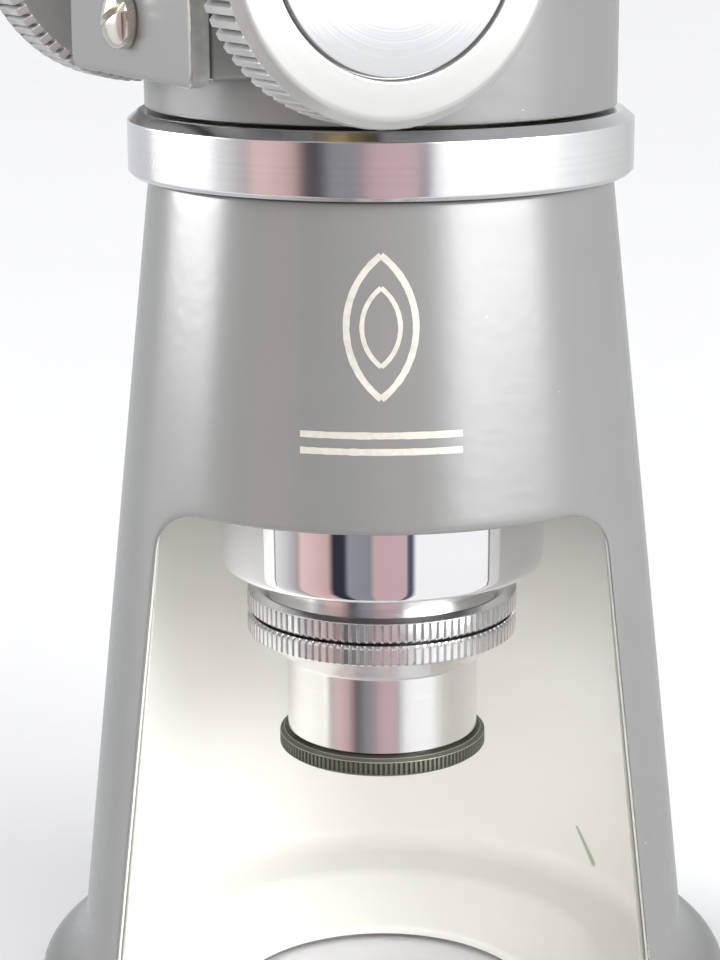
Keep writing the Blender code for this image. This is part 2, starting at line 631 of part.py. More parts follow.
def focus_shaft():
    pinion = flat_piece("focus_pinion", pinion_outline(), PINION_WIDTH, BRASS, shaft_axis)
    bore = rod("pinion_bore", SHAFT_R + SEAT_GAP, -10, 10, shaft_axis, steps=SMALL_STEPS)
    boolean(pinion, bore)

    shaft_end = knob_face - KNOB_RECESS - SHAFT_END
    turned("focus_shaft", [(0.0, shaft_end), (SHAFT_R - 0.3, shaft_end), (SHAFT_R, shaft_end - 0.3),
                           (SHAFT_R, -shaft_end + 0.3), (SHAFT_R - 0.3, -shaft_end), (0.0, -shaft_end)],
           SMALL_STEPS, STEEL, shaft_axis, closed=False)

    for side, name in ((1, "front"), (-1, "rear")):
        facing = axis_empty(f"{name}_side", (0, 0, 0), (0 if side > 0 else math.pi, 0, 0), shaft_axis)
        face = knob_face
        back = knob_inner
        floor = face - KNOB_RECESS
        nut_floor = floor - KNOB_NUT - KNOB_NUT_COVER
        nut_room = KNOB_NUT_R + KNOB_NUT_ROOM
        knob_bore = SHAFT_R + SEAT_GAP
        turned(f"focus_knob_{name}", [
            (KNOB_R - KNOB_CHAMFER, face), (KNOB_R, face - KNOB_CHAMFER), (KNOB_R, back + KNOB_CHAMFER),
            (KNOB_R - KNOB_CHAMFER, back), (knob_bore, back), (knob_bore, nut_floor),
            (nut_room, nut_floor), (nut_room, floor), (KNOB_RECESS_R, floor), (KNOB_RECESS_R, face)],
            LARGE_STEPS, KNOB_GREY, facing)
        turned(f"knob_nut_{name}", [
            (KNOB_NUT_R, nut_floor + SEAT_GAP + KNOB_NUT), (KNOB_NUT_R, nut_floor + SEAT_GAP),
            (knob_bore, nut_floor + SEAT_GAP), (knob_bore, nut_floor + SEAT_GAP + KNOB_NUT)],
            6, STEEL, facing)
        inlay_r = KNOB_RECESS_R - SEAT_GAP
        inlay_floor = floor + SEAT_GAP
        turned(f"knob_inlay_{name}", [
            (0.0, inlay_floor + INLAY_THICKNESS), (inlay_r, inlay_floor + INLAY_THICKNESS),
            (inlay_r, inlay_floor), (0.0, inlay_floor)],
            LARGE_STEPS, BRIGHT_ALUMINIUM, facing, closed=False)
        bush_inner = BLOCK_WIDTH / 2 + BUSH_INSET
        bush_bore = SHAFT_R + TURN_GAP
        turned(f"shaft_bush_{name}", [
            (BUSH_R, back - SEAT_GAP), (BUSH_R, bush_inner), (bush_bore, bush_inner),
            (bush_bore, back - SEAT_GAP)], MEDIUM_STEPS, BRASS, head_facing(name, side))


def head_facing(name, side):
    """The bushes stay in the head, so their own empty hangs from it, on the shaft's line."""
    turn = (math.radians(90) if side > 0 else math.radians(-90), 0, 0)
    return axis_empty(f"bush_axis_{name}", (-pinion_x, 0, shaft_height), turn, head_axis)


# ---- draw tube with its rack, top ring and objective collar ----
def rack_outline():
    """Straight-sided rack, teeth to +X: (distance from the pitch line, height from the shaft)."""
    pitch = math.pi * GEAR_MODULE
    slope = math.tan(math.radians(PRESSURE_ANGLE))
    half = (pitch / 2 - BACKLASH) / 2
    tip_half = half - RACK_ADDENDUM * slope
    root_half = half + DEDENDUM * slope
    end = RACK_TEETH * pitch / 2 + RACK_END
    back = -(RACK_PITCH_RISE + RACK_SEAT - SEAT_GAP)
    found = [(back, -end), (-DEDENDUM, -end)]
    for tooth in range(RACK_TEETH):
        middle = (tooth - (RACK_TEETH - 1) / 2) * pitch
        found += [(-DEDENDUM, middle - root_half), (RACK_ADDENDUM, middle - tip_half),
                  (RACK_ADDENDUM, middle + tip_half), (-DEDENDUM, middle + root_half)]
    found += [(-DEDENDUM, end), (back, end)]
    return [(x, y - rack_phase()) for x, y in found]


def rack_phase():
    """Half a pitch where a tooth of the pinion points at the rack, so that it meets a gap."""
    return math.pi * GEAR_MODULE / 2


def draw_tube():
    tube_bottom = collar_top - COLLAR_TOP_WALL - TUBE_TAIL
    tube = turned("draw_tube", [
        (TUBE_R, tube_top), (TUBE_R, tube_bottom), (TUBE_R - TUBE_WALL, tube_bottom),
        (TUBE_R - TUBE_WALL, tube_top)], MEDIUM_STEPS, CHROME, tube_axis)
    end = RACK_TEETH * math.pi * GEAR_MODULE / 2 + RACK_END + rack_phase() + SEAT_GAP
    seat_x = TUBE_R - RACK_SEAT
    seat = block("rack_seat", (-(TUBE_R + 3), -(RACK_WIDTH / 2 + SEAT_GAP), shaft_height - end),
                 (-seat_x, RACK_WIDTH / 2 + SEAT_GAP, shaft_height + end), None, tube_axis, cutters)
    boolean(tube, seat)

    rack = flat_piece("focus_rack", rack_outline(), RACK_WIDTH, BRASS, tube_axis)
    rack.rotation_euler = (math.radians(90), 0, math.radians(180))
    rack.location = Vector((-rack_pitch_x, 0, shaft_height)) * MM
    rack_end = RACK_TEETH * math.pi * GEAR_MODULE / 2
    for side, name in ((-1, "lower"), (1, "upper")):
        height = shaft_height - rack_phase() + side * (rack_end + RACK_END / 2)
        reach = rack_pitch_x - DEDENDUM
        for target, tag in ((tube, "tube"), (rack, "rack")):
            hole = rod(f"{tag}_screw_hole_{name}", RACK_SCREW_R + SCREW_GAP, -(reach + 1), -(TUBE_R - TUBE_WALL - 1),
                       tube_axis, "X", (0.0, height), SMALL_STEPS)
            boolean(target, hole)
        sink = rod(f"rack_screw_sink_{name}", RACK_SCREW_SINK_R, -(reach + 1), -(reach - RACK_SCREW_SINK),
                   tube_axis, "X", (0.0, height), SMALL_STEPS)
        boolean(rack, sink)
        seat_empty = axis_empty(f"rack_screw_axis_{name}", (-(reach - RACK_SCREW_SINK), 0, height),
                                (0, math.radians(-90), 0), tube_axis)
        turned(f"rack_screw_{name}", [
            (0.0, RACK_SCREW_HEAD), (RACK_SCREW_HEAD_R, RACK_SCREW_HEAD), (RACK_SCREW_HEAD_R, SEAT_GAP),
            (RACK_SCREW_R, SEAT_GAP), (RACK_SCREW_R, -RACK_SCREW_LENGTH), (0.0, -RACK_SCREW_LENGTH)],
            SMALL_STEPS, STEEL, seat_empty, closed=False)

    ring_low = tube_top - TOP_RING_HEIGHT
    ring_high = tube_top - SEAT_GAP
    edge_r = TOP_RING_R - TOP_RING_EDGE
    turned("tube_top_ring", [
        (edge_r, ring_high), (TOP_RING_R, ring_high - TOP_RING_EDGE), (TOP_RING_R, ring_low + TOP_RING_EDGE),
        (edge_r, ring_low), (TUBE_R + SEAT_GAP, ring_low), (TUBE_R + SEAT_GAP, ring_high)],
        MEDIUM_STEPS, BRIGHT_ALUMINIUM, tube_axis)

    edge = COLLAR_EDGE_R
    turned("objective_collar", [(TUBE_R + SEAT_GAP, collar_top)]
           + arc((COLLAR_R - edge, collar_top - edge), edge, 90, 0, 3)
           + arc((COLLAR_R - edge, collar_bottom + edge), edge, 0, -90, 3)
           + [(collar_cavity, collar_bottom), (collar_cavity, collar_top - COLLAR_TOP_WALL),
              (TUBE_R + SEAT_GAP, collar_top - COLLAR_TOP_WALL)], LARGE_STEPS, CHROME, tube_axis)


# ---- objective: adapter ring, lens barrel, its lenses and rings, and the dark front ring ----
def lens(name, radius, bottom, edge, sag_top, sag_bottom, parent, steps=SMALL_STEPS * 2):
    """A lens about the parent's Z: edge thickness, and how far each face bulges (negative is hollow)."""
    def face(sag, base):
        return [(radius * k / 3, base + sag * (1 - (k / 3) ** 2)) for k in range(4)]
    top = face(sag_top, bottom + edge)
    under = face(-sag_bottom, bottom)
    return turned(name, top + under[::-1], steps, GLASS, parent, closed=False)


def objective():
    adapter_bore = OBJECTIVE_STEM_R + TURN_GAP
    stem_top = adapter_top + ADAPTER_STEM_HEIGHT
    turned("adapter_ring", [
        (adapter_stem_r, stem_top), (adapter_stem_r, adapter_top), (KNURL_R - KNURL_BEVEL, adapter_top),
        (KNURL_R, adapter_top - KNURL_BEVEL), (KNURL_R, adapter_bottom + KNURL_BEVEL),
        (KNURL_R - KNURL_BEVEL, adapter_bottom), (adapter_bore, adapter_bottom), (adapter_bore, stem_top)],
        LARGE_STEPS, CHROME, tube_axis)

    spout_r = FRONT_RING_R - FRONT_RING_WALL - SEAT_GAP
    spout_bottom = front_ring_bottom + FRONT_LIP + SEAT_GAP
    ledge = barrel_bottom + SEAT_GAP
    turned("objective_barrel", [
        (OBJECTIVE_STEM_R, objective_top + OBJECTIVE_STEM_HEIGHT), (OBJECTIVE_STEM_R, objective_top),
        (KNURL_R - KNURL_BEVEL, objective_top), (KNURL_R, objective_top - KNURL_BEVEL),
        (KNURL_R, knurl_bottom + KNURL_BEVEL), (KNURL_R - KNURL_BEVEL, knurl_bottom),
        (KNURL_R - BEVEL_SHOULDER, knurl_bottom - BEVEL_EASE), (BARREL_R + BEVEL_TOE, bevel_bottom + BEVEL_EASE),
        (BARREL_R, bevel_bottom), (BARREL_R, ledge), (spout_r, ledge), (spout_r, spout_bottom),
        (BARREL_BORE_R, spout_bottom), (BARREL_BORE_R, objective_top + OBJECTIVE_STEM_HEIGHT)],
        LARGE_STEPS, BRIGHT_ALUMINIUM, tube_axis)

    lip_top = front_ring_bottom + FRONT_LIP
    ring_edge_r = FRONT_RING_R - FRONT_RING_BEVEL
    turned("front_ring", [
        (ring_edge_r, barrel_bottom), (FRONT_RING_R, barrel_bottom - FRONT_RING_BEVEL),
        (FRONT_RING_R, front_ring_bottom + FRONT_RING_BEVEL), (ring_edge_r, front_ring_bottom),
        (FRONT_APERTURE_R, front_ring_bottom), (FRONT_APERTURE_R, lip_top), (spout_r + SEAT_GAP, lip_top),
        (spout_r + SEAT_GAP, barrel_bottom)], LARGE_STEPS, DARK_RING, tube_axis)

    glass_r = BARREL_BORE_R - SEAT_GAP
    front = spout_bottom + FRONT_LENS_SET
    lens("objective_front_lens", glass_r, front, FRONT_LENS_EDGE, FRONT_LENS_BULGE, 0.0, tube_axis)
    spacer_low = front + FRONT_LENS_EDGE + SEAT_GAP
    spacer_high = spacer_low + LENS_SPACING
    lens_ring("lens_spacer", glass_r, spacer_low, spacer_high, SPACER_WALL)
    rear = spacer_high + SEAT_GAP
    lens("objective_rear_lens", glass_r, rear, REAR_LENS_EDGE, REAR_LENS_BULGE, -REAR_LENS_HOLLOW, tube_axis)
    retainer = rear + REAR_LENS_EDGE + SEAT_GAP
    lens_ring("objective_retaining_ring", glass_r, retainer, retainer + RETAINER_RING_HEIGHT, RETAINER_RING_WALL)


def lens_ring(name, radius, low, high, wall):
    """A plain blackened ring in a lens tube."""
    turned(name, [(radius, high), (radius, low), (radius - wall, low), (radius - wall, high)],
           MEDIUM_STEPS, BLACK, tube_axis)


# ---- eyepiece: stem, body, lenses, field stop, retaining ring and eyecup ----
def eyepiece():
    stem_bottom = tube_top - EYE_STEM_DEPTH
    step = EYE_BODY_R - EYE_STEP
    cup_seat = eye_body_top - EYE_NECK
    turned("eyepiece_body", [
        (step, eye_body_top), (step, cup_seat), (EYE_BODY_R, cup_seat), (EYE_BODY_R, eye_seat + TOP_RING_EDGE),
        (EYE_BODY_R - TOP_RING_EDGE, eye_seat), (eye_stem_r, eye_seat), (eye_stem_r, stem_bottom),
        (eye_bore, stem_bottom), (eye_bore, eye_body_top)], MEDIUM_STEPS, CHROME, tube_axis)
    cup_low = cup_seat + SEAT_GAP
    cup_top = cup_low + EYECUP_HEIGHT
    cup_floor = eye_body_top + SEAT_GAP
    turned("eyecup", [
        (EYECUP_R - EYECUP_RIM_OUT, cup_top), (EYECUP_R - EYECUP_EDGE, cup_top - EYECUP_EDGE),
        (EYECUP_R, cup_top - EYECUP_RIM_OUT), (EYECUP_R, cup_low + EYECUP_EDGE), (EYECUP_R - EYECUP_EDGE, cup_low),
        (step + SEAT_GAP, cup_low), (step + SEAT_GAP, cup_floor), (EYECUP_HOLE_R, cup_floor),
        (EYECUP_HOLE_R, cup_floor + EYECUP_FLOOR), (EYECUP_R - EYECUP_RIM_IN, cup_top - EYECUP_BOWL)],
        LARGE_STEPS, BLACK, tube_axis)
    glass_r = eye_bore - SEAT_GAP
    eye_lens_low = eye_body_top - EYE_LENS_DROP
    lens("eye_lens", glass_r, eye_lens_low, EYE_LENS_EDGE, 0.0, EYE_LENS_BULGE, tube_axis)
    ring_high = eye_lens_low - EYE_LENS_BULGE - SEAT_GAP
    lens_ring("eye_lens_seat_ring", glass_r, ring_high - EYE_LENS_RING, ring_high, SPACER_WALL)
    stop_low = tube_top - FIELD_STOP_DROP
    lens_ring("field_stop", glass_r, stop_low, stop_low + FIELD_STOP_HEIGHT, FIELD_STOP_WALL)
    field = stem_bottom + FIELD_LENS_SET
    lens("field_lens", glass_r, field, FIELD_LENS_EDGE, FIELD_LENS_BULGE, 0.0, tube_axis)
    field_ring = field - SEAT_GAP
    lens_ring("field_lens_ring", glass_r, field_ring - FIELD_LENS_RING, field_ring, SPACER_WALL)


stand()
head()
cover()
focus_shaft()
draw_tube()
objective()
eyepiece()
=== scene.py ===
import bisect
import math

import bmesh
import bpy
from mathutils import Matrix, Vector, noise


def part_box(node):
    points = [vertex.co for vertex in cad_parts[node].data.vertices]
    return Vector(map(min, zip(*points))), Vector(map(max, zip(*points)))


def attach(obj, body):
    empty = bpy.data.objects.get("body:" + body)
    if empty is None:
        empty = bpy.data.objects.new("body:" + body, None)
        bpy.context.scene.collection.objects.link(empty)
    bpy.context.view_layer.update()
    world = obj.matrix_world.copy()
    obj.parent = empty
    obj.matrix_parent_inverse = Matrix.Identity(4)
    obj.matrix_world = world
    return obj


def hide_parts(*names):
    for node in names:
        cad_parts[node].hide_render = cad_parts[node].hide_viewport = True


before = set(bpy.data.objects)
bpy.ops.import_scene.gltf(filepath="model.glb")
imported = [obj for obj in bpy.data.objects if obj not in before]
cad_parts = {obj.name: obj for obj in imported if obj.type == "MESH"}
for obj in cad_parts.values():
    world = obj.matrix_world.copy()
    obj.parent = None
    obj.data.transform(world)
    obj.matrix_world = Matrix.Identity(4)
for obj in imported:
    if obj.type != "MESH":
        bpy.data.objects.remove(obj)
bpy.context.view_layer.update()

# ---- Stand casting ----
# The hollow cone that carries everything: one aluminium casting with a tall window cut in its front and a
# dished floor round the viewing hole. Stove-enamelled warm grey outside and ivory inside, over a filed window
# edge whose paint is thinner and rubbed at the feet.
MM = 0.001
UPRIGHT = Matrix()

CONE_TOP_R = 22.95
CONE_TOP = 91.1
CONE_SLOPE = 0.1105
WALL = 2.1
SHOULDER = 90.35
NECK_R = 21.2
NECK_BORE = 19.2
NECK_TOP = 96.6
WEB = 83.25
FOOT_BLEND_R = 6.5
FOOT_BLEND_TOP = 13.3
RIM_TOP = (35.5, 7.32)
RIM_EDGE = 6.4
BASE_R = 36.5
BASE_CHAMFER = 0.6
HOLE_R = 16.5
HOLE_LIP = 1.5
SHELF_INNER = (22.99, 5.6)
SHELF = 6.0
FLOOR_FILLET = 2.4

WINDOW_TOP = 60.0
WINDOW_BOTTOM = 7.6
WINDOW_HALF_TOP = 21.45
WINDOW_HALF_BOTTOM = 27.3
WINDOW_TOP_CORNER = 5.0
WINDOW_BOTTOM_CORNER = 4.0
LIP = 0.85  # rounding of the window's outer edge
SILL_LIP = 0.3
INNER_LIP = 0.45
LIP_GROWS = (8.0, 13.0)  # the heights between which the lip grows from the sill's
RUBBED_BELOW = 20.0  # and the paint on it is rubbed towards the feet

FRAME_HALF_ANGLE = math.radians(62)  # the patch round the window, which is meshed in rings
FRAME_TOP = 64.5
FRAME_COLUMNS = 72
FRAME_ROWS = 66
BACK_COLUMNS = 150
CORNER_HALF = 16  # points round half of a window corner
CREASE = math.radians(32)

SPECK_CELLS = 0.42  # specks sought per millimetre
SCRATCH_WANDER = 22.0
SCRATCH_WIDTH = 0.0016
MARK_TONE = (0.40, 0.42, 0.32)  # an old knock in the ivory paint inside


def node_box(node):
    """Lowest and highest corner of a CAD node at rest, in millimetres."""
    return [[value / MM for value in corner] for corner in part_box(node)]


def cone_radius(height):
    return CONE_TOP_R + CONE_SLOPE * (CONE_TOP - height)


def between(start, end, count):
    """Points from start towards end, without the end itself."""
    return [(start[0] + (end[0] - start[0]) * i / count, start[1] + (end[1] - start[1]) * i / count)
            for i in range(count)]


def arc(centre, radius, start, end, steps):
    """Points along an arc, angles in degrees from +X."""
    angles = [math.radians(start + (end - start) * i / steps) for i in range(steps + 1)]
    return [(centre[0] + radius * math.cos(a), centre[1] + radius * math.sin(a)) for a in angles]


def rounded_off(start, corner, end, t):
    """A point along the curve that rounds a corner off."""
    return start * (1 - t) ** 2 + corner * (2 * t * (1 - t)) + end * t * t


def lengths(path):
    """Distance run to each point of a path, as shares of its whole length."""
    run = [0.0]
    for a, b in zip(path, path[1:]):
        run.append(run[-1] + math.dist(a, b))
    return [r / run[-1] for r in run]


def reading(keys, values, key):
    """The value at this key, read off a rising table."""
    low = min(max(bisect.bisect_right(keys, key) - 1, 0), len(keys) - 2)
    share = (key - keys[low]) / (keys[low + 1] - keys[low])
    return tuple(a + (b - a) * share for a, b in zip(values[low], values[low + 1]))


def resampled(path, shares):
    keys = lengths(path)
    return [reading(keys, path, min(max(s, 0.0), 1.0)) for s in shares]


def new_piece(name, points, faces, finishes, place=UPRIGHT, slots=None, **marks):
    """A smooth-shaded mesh piece. Points are in millimetres; marks are values held at each point."""
    mesh = bpy.data.meshes.new(name)
    mesh.from_pydata([(x * MM, y * MM, z * MM) for x, y, z in points], [], faces)
    for finish in finishes:
        mesh.materials.append(finish)
    if slots:
        mesh.polygons.foreach_set("material_index", slots)
    for mark, values in marks.items():
        mesh.attributes.new(mark, "FLOAT", "POINT").data.foreach_set("value", values)
    mesh.update()
    piece = bpy.data.objects.new(name, mesh)
    bpy.context.scene.collection.objects.link(piece)
    piece.matrix_world = place
    return creased(piece)


def creased(piece):
    piece.data.shade_smooth()
    piece.data.set_sharp_from_angle(angle=CREASE)
    return piece


def reworked(piece, change):
    """The piece after one change to its mesh."""
    shape = bmesh.new()
    shape.from_mesh(piece.data)
    change(shape)
    shape.to_mesh(piece.data)
    shape.free()
    return creased(piece)


def feed(tree, socket, value):
    """Joins an input to another node's output, or sets it to a value."""
    if isinstance(value, bpy.types.NodeSocket):
        tree.links.new(value, socket)
    else:
        socket.default_value = value


# Nodes are added through short calls, so that each finish reads as a list of its steps.
def add(tree, kind, inputs=None, **settings):
    """The outputs of a new node, with its settings made and its inputs fed."""
    made = tree.nodes.new("ShaderNode" + kind)
    for key, value in settings.items():
        setattr(made, key, value)
    for key, value in (inputs or {}).items():
        feed(tree, made.inputs[key], value)
    return made.outputs


def maths(tree, operation, first, second=0.0, third=0.0, clamp=False):
    return add(tree, "Math", {0: first, 1: second, 2: third}, operation=operation, use_clamp=clamp)[0]


def scaled(tree, value, factor, offset):
    """value * factor + offset."""
    return maths(tree, "MULTIPLY_ADD", value, factor, offset)


def vectors(tree, operation, first, second=(0.0, 0.0, 0.0)):
    made = add(tree, "VectorMath", {0: first, 1: second}, operation=operation)
    return made["Value" if operation in ("DOT_PRODUCT", "LENGTH", "DISTANCE") else "Vector"]


def stretched(tree, vector, scale):
    return add(tree, "VectorMath", {0: vector, "Scale": scale}, operation="SCALE")["Vector"]


def cloudy(tree, place, scale, detail, **more):
    return add(tree, "TexNoise", {"Vector": place, "Scale": scale, "Detail": detail, **more})["Fac"]


def bumped(tree, height, depth):
    """The surface direction that a height gives, its depth in millimetres."""
    return add(tree, "Bump", {"Strength": 1.0, "Distance": depth * MM, "Height": height})["Normal"]


def ramp(tree, fac, stops):
    """A smooth step between grey levels or colours placed along 0..1."""
    made = tree.nodes.new("ShaderNodeValToRGB")
    feed(tree, made.inputs["Fac"], fac)
    band = made.color_ramp
    while len(band.elements) < len(stops):
        band.elements.new(0.5)
    for element, (position, colour) in zip(band.elements, stops):
        element.position = position
        element.color = (colour, colour, colour, 1.0) if isinstance(colour, float) else (*colour, 1.0)
    return made.outputs["Color"]


def layered(tree, colour, *coats):
    """A colour with others laid over it in turn, each by its own mask."""
    for mask, coat in coats:
        pair = [c if isinstance(c, bpy.types.NodeSocket) else (*c, 1.0) for c in (colour, coat)]
        colour = add(tree, "Mix", {0: mask, 6: pair[0], 7: pair[1]}, data_type="RGBA")[2]
    return colour


def effect(name, values, results):
    """A node group with a place and numbers going in: (its tree, the place in millimetres, its inputs, a
    function that joins an output)."""
    tree = bpy.data.node_groups.new(name, "ShaderNodeTree")
    tree.interface.new_socket("Place", in_out="INPUT", socket_type="NodeSocketVector")
    for title, value in values.items():
        tree.interface.new_socket(title, in_out="INPUT", socket_type="NodeSocketFloat").default_value = value
    for title in results:
        tree.interface.new_socket(title, in_out="OUTPUT", socket_type="NodeSocketFloat")
    entry = tree.nodes.new("NodeGroupInput").outputs
    leaving = tree.nodes.new("NodeGroupOutput").inputs
    place = stretched(tree, entry["Place"], 1 / MM)
    return tree, place, entry, lambda title, socket: tree.links.new(socket, leaving[title])


def placed(tree, group, **inputs):
    return add(tree, "Group", {title.replace("_", " "): value for title, value in inputs.items()},
               node_tree=group)


def surface_marks():
    """Cloudy unevenness, pin-head specks and hairline scratches, at sizes given in millimetres."""
    tree, place, entry, leave = effect("surface marks",
                                       {"Cloud Size": 9.0, "Speck Share": 0.1, "Scratch Share": 0.3},
                                       ("Clouds", "Specks", "Scratches"))
    cloud = cloudy(tree, place, maths(tree, "DIVIDE", 1.0, entry["Cloud Size"]), 2.0)
    leave("Clouds", ramp(tree, cloud, [(0.22, 0.0), (0.78, 1.0)]))
    cell = add(tree, "TexVoronoi", {"Vector": place, "Scale": SPECK_CELLS})
    odds = add(tree, "SeparateColor", {0: cell["Color"]})
    dot = maths(tree, "LESS_THAN", cell["Distance"], scaled(tree, odds[1], 0.03, 0.012))
    leave("Specks", maths(tree, "MULTIPLY", maths(tree, "LESS_THAN", odds[0], entry["Speck Share"]), dot))
    wander = add(tree, "TexNoise", {"Vector": place, "Scale": 0.05, "Detail": 1.0})["Color"]
    bent = vectors(tree, "ADD", place, stretched(tree, wander, SCRATCH_WANDER))
    drawn = add(tree, "Mapping", {"Vector": bent, "Rotation": (0.5, 0.9, 0.3), "Scale": (1.3, 0.05, 0.05)})[0]
    line = maths(tree, "ABSOLUTE", maths(tree, "SUBTRACT", cloudy(tree, drawn, 1.0, 0.0), 0.5))
    line = maths(tree, "LESS_THAN", line, SCRATCH_WIDTH)
    where = maths(tree, "LESS_THAN", cloudy(tree, place, 0.12, 2.0),
                  scaled(tree, entry["Scratch Share"], 0.35, 0.2))
    leave("Scratches", maths(tree, "MULTIPLY", line, where))
    return tree


def edge_rub():
    """Where a rounded edge has been rubbed through: the mesh marks its edges, and noise breaks them up."""
    tree, place, entry, leave = effect("edge rub", {"Amount": 0.3}, ("Rubbed",))
    edge = add(tree, "Attribute", attribute_name="edge")["Fac"]
    patch = maths(tree, "SUBTRACT", cloudy(tree, place, 0.55, 6.0, Roughness=0.7), 1.0)
    level = maths(tree, "ADD", maths(tree, "MULTIPLY", edge, entry["Amount"]), patch)
    leave("Rubbed", ramp(tree, level, [(0.0, 0.0), (0.05, 1.0)]))
    return tree


def packed_dirt_and_shade():
    """Grease, dust and painted shade held in grooves: the mesh marks its hollows, and noise makes the filling
    uneven.
    """
    tree, place, entry, leave = effect("packed dirt", {"Amount": 0.6}, ("Dirt",))
    hollow = add(tree, "Attribute", attribute_name="hollow")["Fac"]
    filling = maths(tree, "MULTIPLY", hollow, scaled(tree, cloudy(tree, place, 0.8, 4.0), 0.9, 0.35))
    leave("Dirt", maths(tree, "MULTIPLY", filling, entry["Amount"], clamp=True))
    return tree


def turning_lines():
    """Fine rings left by the lathe tool, running round the piece's own axis."""
    tree, place, entry, leave = effect("turning lines", {"Pitch": 0.12}, ("Height", "Streaks"))
    xyz = add(tree, "SeparateXYZ", {0: place})
    flat = add(tree, "CombineXYZ", {"X": xyz[0], "Y": xyz[1]})[0]
    slow = add(tree, "SeparateXYZ", {0: stretched(tree, flat, 0.012)})
    pitch = maths(tree, "DIVIDE", 1.0, entry["Pitch"])
    along = scaled(tree, vectors(tree, "LENGTH", flat), pitch, slow[0])
    up = scaled(tree, xyz[2], pitch, slow[1])
    where = add(tree, "CombineXYZ", {"X": along, "Y": up, "Z": slow[0]})[0]
    leave("Height", cloudy(tree, where, 1.0, 3.0))
    leave("Streaks", ramp(tree, cloudy(tree, where, 0.14, 2.0), [(0.3, 0.0), (0.7, 1.0)]))
    return tree


MARKS = surface_marks()
RUB = edge_rub()
DIRT_AND_SHADE = packed_dirt_and_shade()
LINES = turning_lines()


def new_finish(name):
    """An empty material: (material, its tree, its shader, object coordinates)."""
    made = bpy.data.materials.new(name)
    made.use_nodes = True
    tree = made.node_tree
    return made, tree, tree.nodes["Principled BSDF"], add(tree, "TexCoord")["Object"]


def wire(tree, shader, **inputs):
    for title, value in inputs.items():
        feed(tree, shader.inputs[title.replace("_", " ")], value)


def gouge(tree, place, start, end, wide):
    """A mask along one short mark between two points, fading out across its width (all in millimetres)."""
    along = Vector(end) - Vector(start)
    from_start = vectors(tree, "SUBTRACT", place, Vector(start) * MM)
    reach = vectors(tree, "DOT_PRODUCT", from_start, along / (along.length_squared * MM))
    reach = maths(tree, "ADD", reach, 0.0, clamp=True)
    away = vectors(tree, "DISTANCE", from_start, stretched(tree, along * MM, reach))
    width = scaled(tree, reach, 0.5 * wide * MM, 0.5 * wide * MM)
    return ramp(tree, maths(tree, "DIVIDE", away, width), [(0.35, 1.0), (1.0, 0.0)])


def enamel(name, paint, shade, roughness, peel, specks, rub, bare, mark=None):
    """Stove enamel: a faintly dimpled skin with dust specks, hair scratches and edges worn to bare metal."""
    made, tree, shader, place = new_finish(name)
    marks = placed(tree, MARKS, Place=place, Cloud_Size=14.0, Speck_Share=specks, Scratch_Share=0.0)
    worn = placed(tree, RUB, Place=place, Amount=rub)["Rubbed"]
    scratched = tuple(min(1.0, c * 1.15 + 0.01) for c in paint)
    colour = layered(tree, paint, (marks["Clouds"], shade), (marks["Scratches"], scratched),
                     (marks["Specks"], (0.78, 0.78, 0.72)), (worn, bare))
    if mark:
        colour = layered(tree, colour, (gouge(tree, place, *mark), MARK_TONE))
    rough = scaled(tree, marks["Scratches"], 0.10, scaled(tree, marks["Clouds"], 0.05, roughness))
    dimple = cloudy(tree, stretched(tree, place, 1 / MM), 0.7, 1.0)
    height = scaled(tree, worn, -0.8, scaled(tree, marks["Specks"], 0.5, dimple))
    wire(tree, shader, Base_Color=colour, Roughness=rough, Metallic=worn, Normal=bumped(tree, height, peel),
         Specular_IOR_Level=0.95)
    return made


GREY_ENAMEL = enamel("grey_enamel", (0.158, 0.158, 0.153), (0.146, 0.146, 0.141), 0.212, 0.014, 0.10, 0.62,
                     (0.55, 0.54, 0.50))
IVORY_ENAMEL = enamel("ivory_enamel", (0.88, 0.877, 0.835), (0.865, 0.862, 0.82), 0.38, 0.012, 0.03, 0.40,
                      (0.60, 0.59, 0.55), mark=((22.39, 19.25, 12.56), (24.17, 17.67, 8.78), 0.55))


def window_outline():
    """The window's outline in (x, z), clockwise from the middle of its upper left corner, in four lengths."""
    corners = [Vector((-WINDOW_HALF_TOP, WINDOW_TOP)), Vector((WINDOW_HALF_TOP, WINDOW_TOP)),
               Vector((WINDOW_HALF_BOTTOM, WINDOW_BOTTOM)), Vector((-WINDOW_HALF_BOTTOM, WINDOW_BOTTOM))]
    radii = [WINDOW_TOP_CORNER, WINDOW_TOP_CORNER, WINDOW_BOTTOM_CORNER, WINDOW_BOTTOM_CORNER]
    halves = []
    for i, radius in enumerate(radii):
        here = corners[i]
        back = (corners[i - 1] - here).normalized()
        ahead = (corners[(i + 1) % 4] - here).normalized()
        half = back.angle(ahead) / 2
        centre = here + (back + ahead).normalized() * (radius / math.sin(half))
        first = here + back * (radius / math.tan(half)) - centre
        turn = math.pi - 2 * half
        curve = []
        for k in range(2 * CORNER_HALF + 1):
            a = -turn * k / (2 * CORNER_HALF)
            curve.append((centre.x + first.x * math.cos(a) - first.y * math.sin(a),
                          centre.y + first.x * math.sin(a) + first.y * math.cos(a)))
        halves.append((curve[:CORNER_HALF + 1], curve[CORNER_HALF:]))
    lengths_of = []
    for i in range(4):
        leaving, arriving = halves[i][1], halves[(i + 1) % 4][0]
        lengths_of.append(leaving + between(leaving[-1], arriving[0], 40)[1:] + arriving)
    return lengths_of


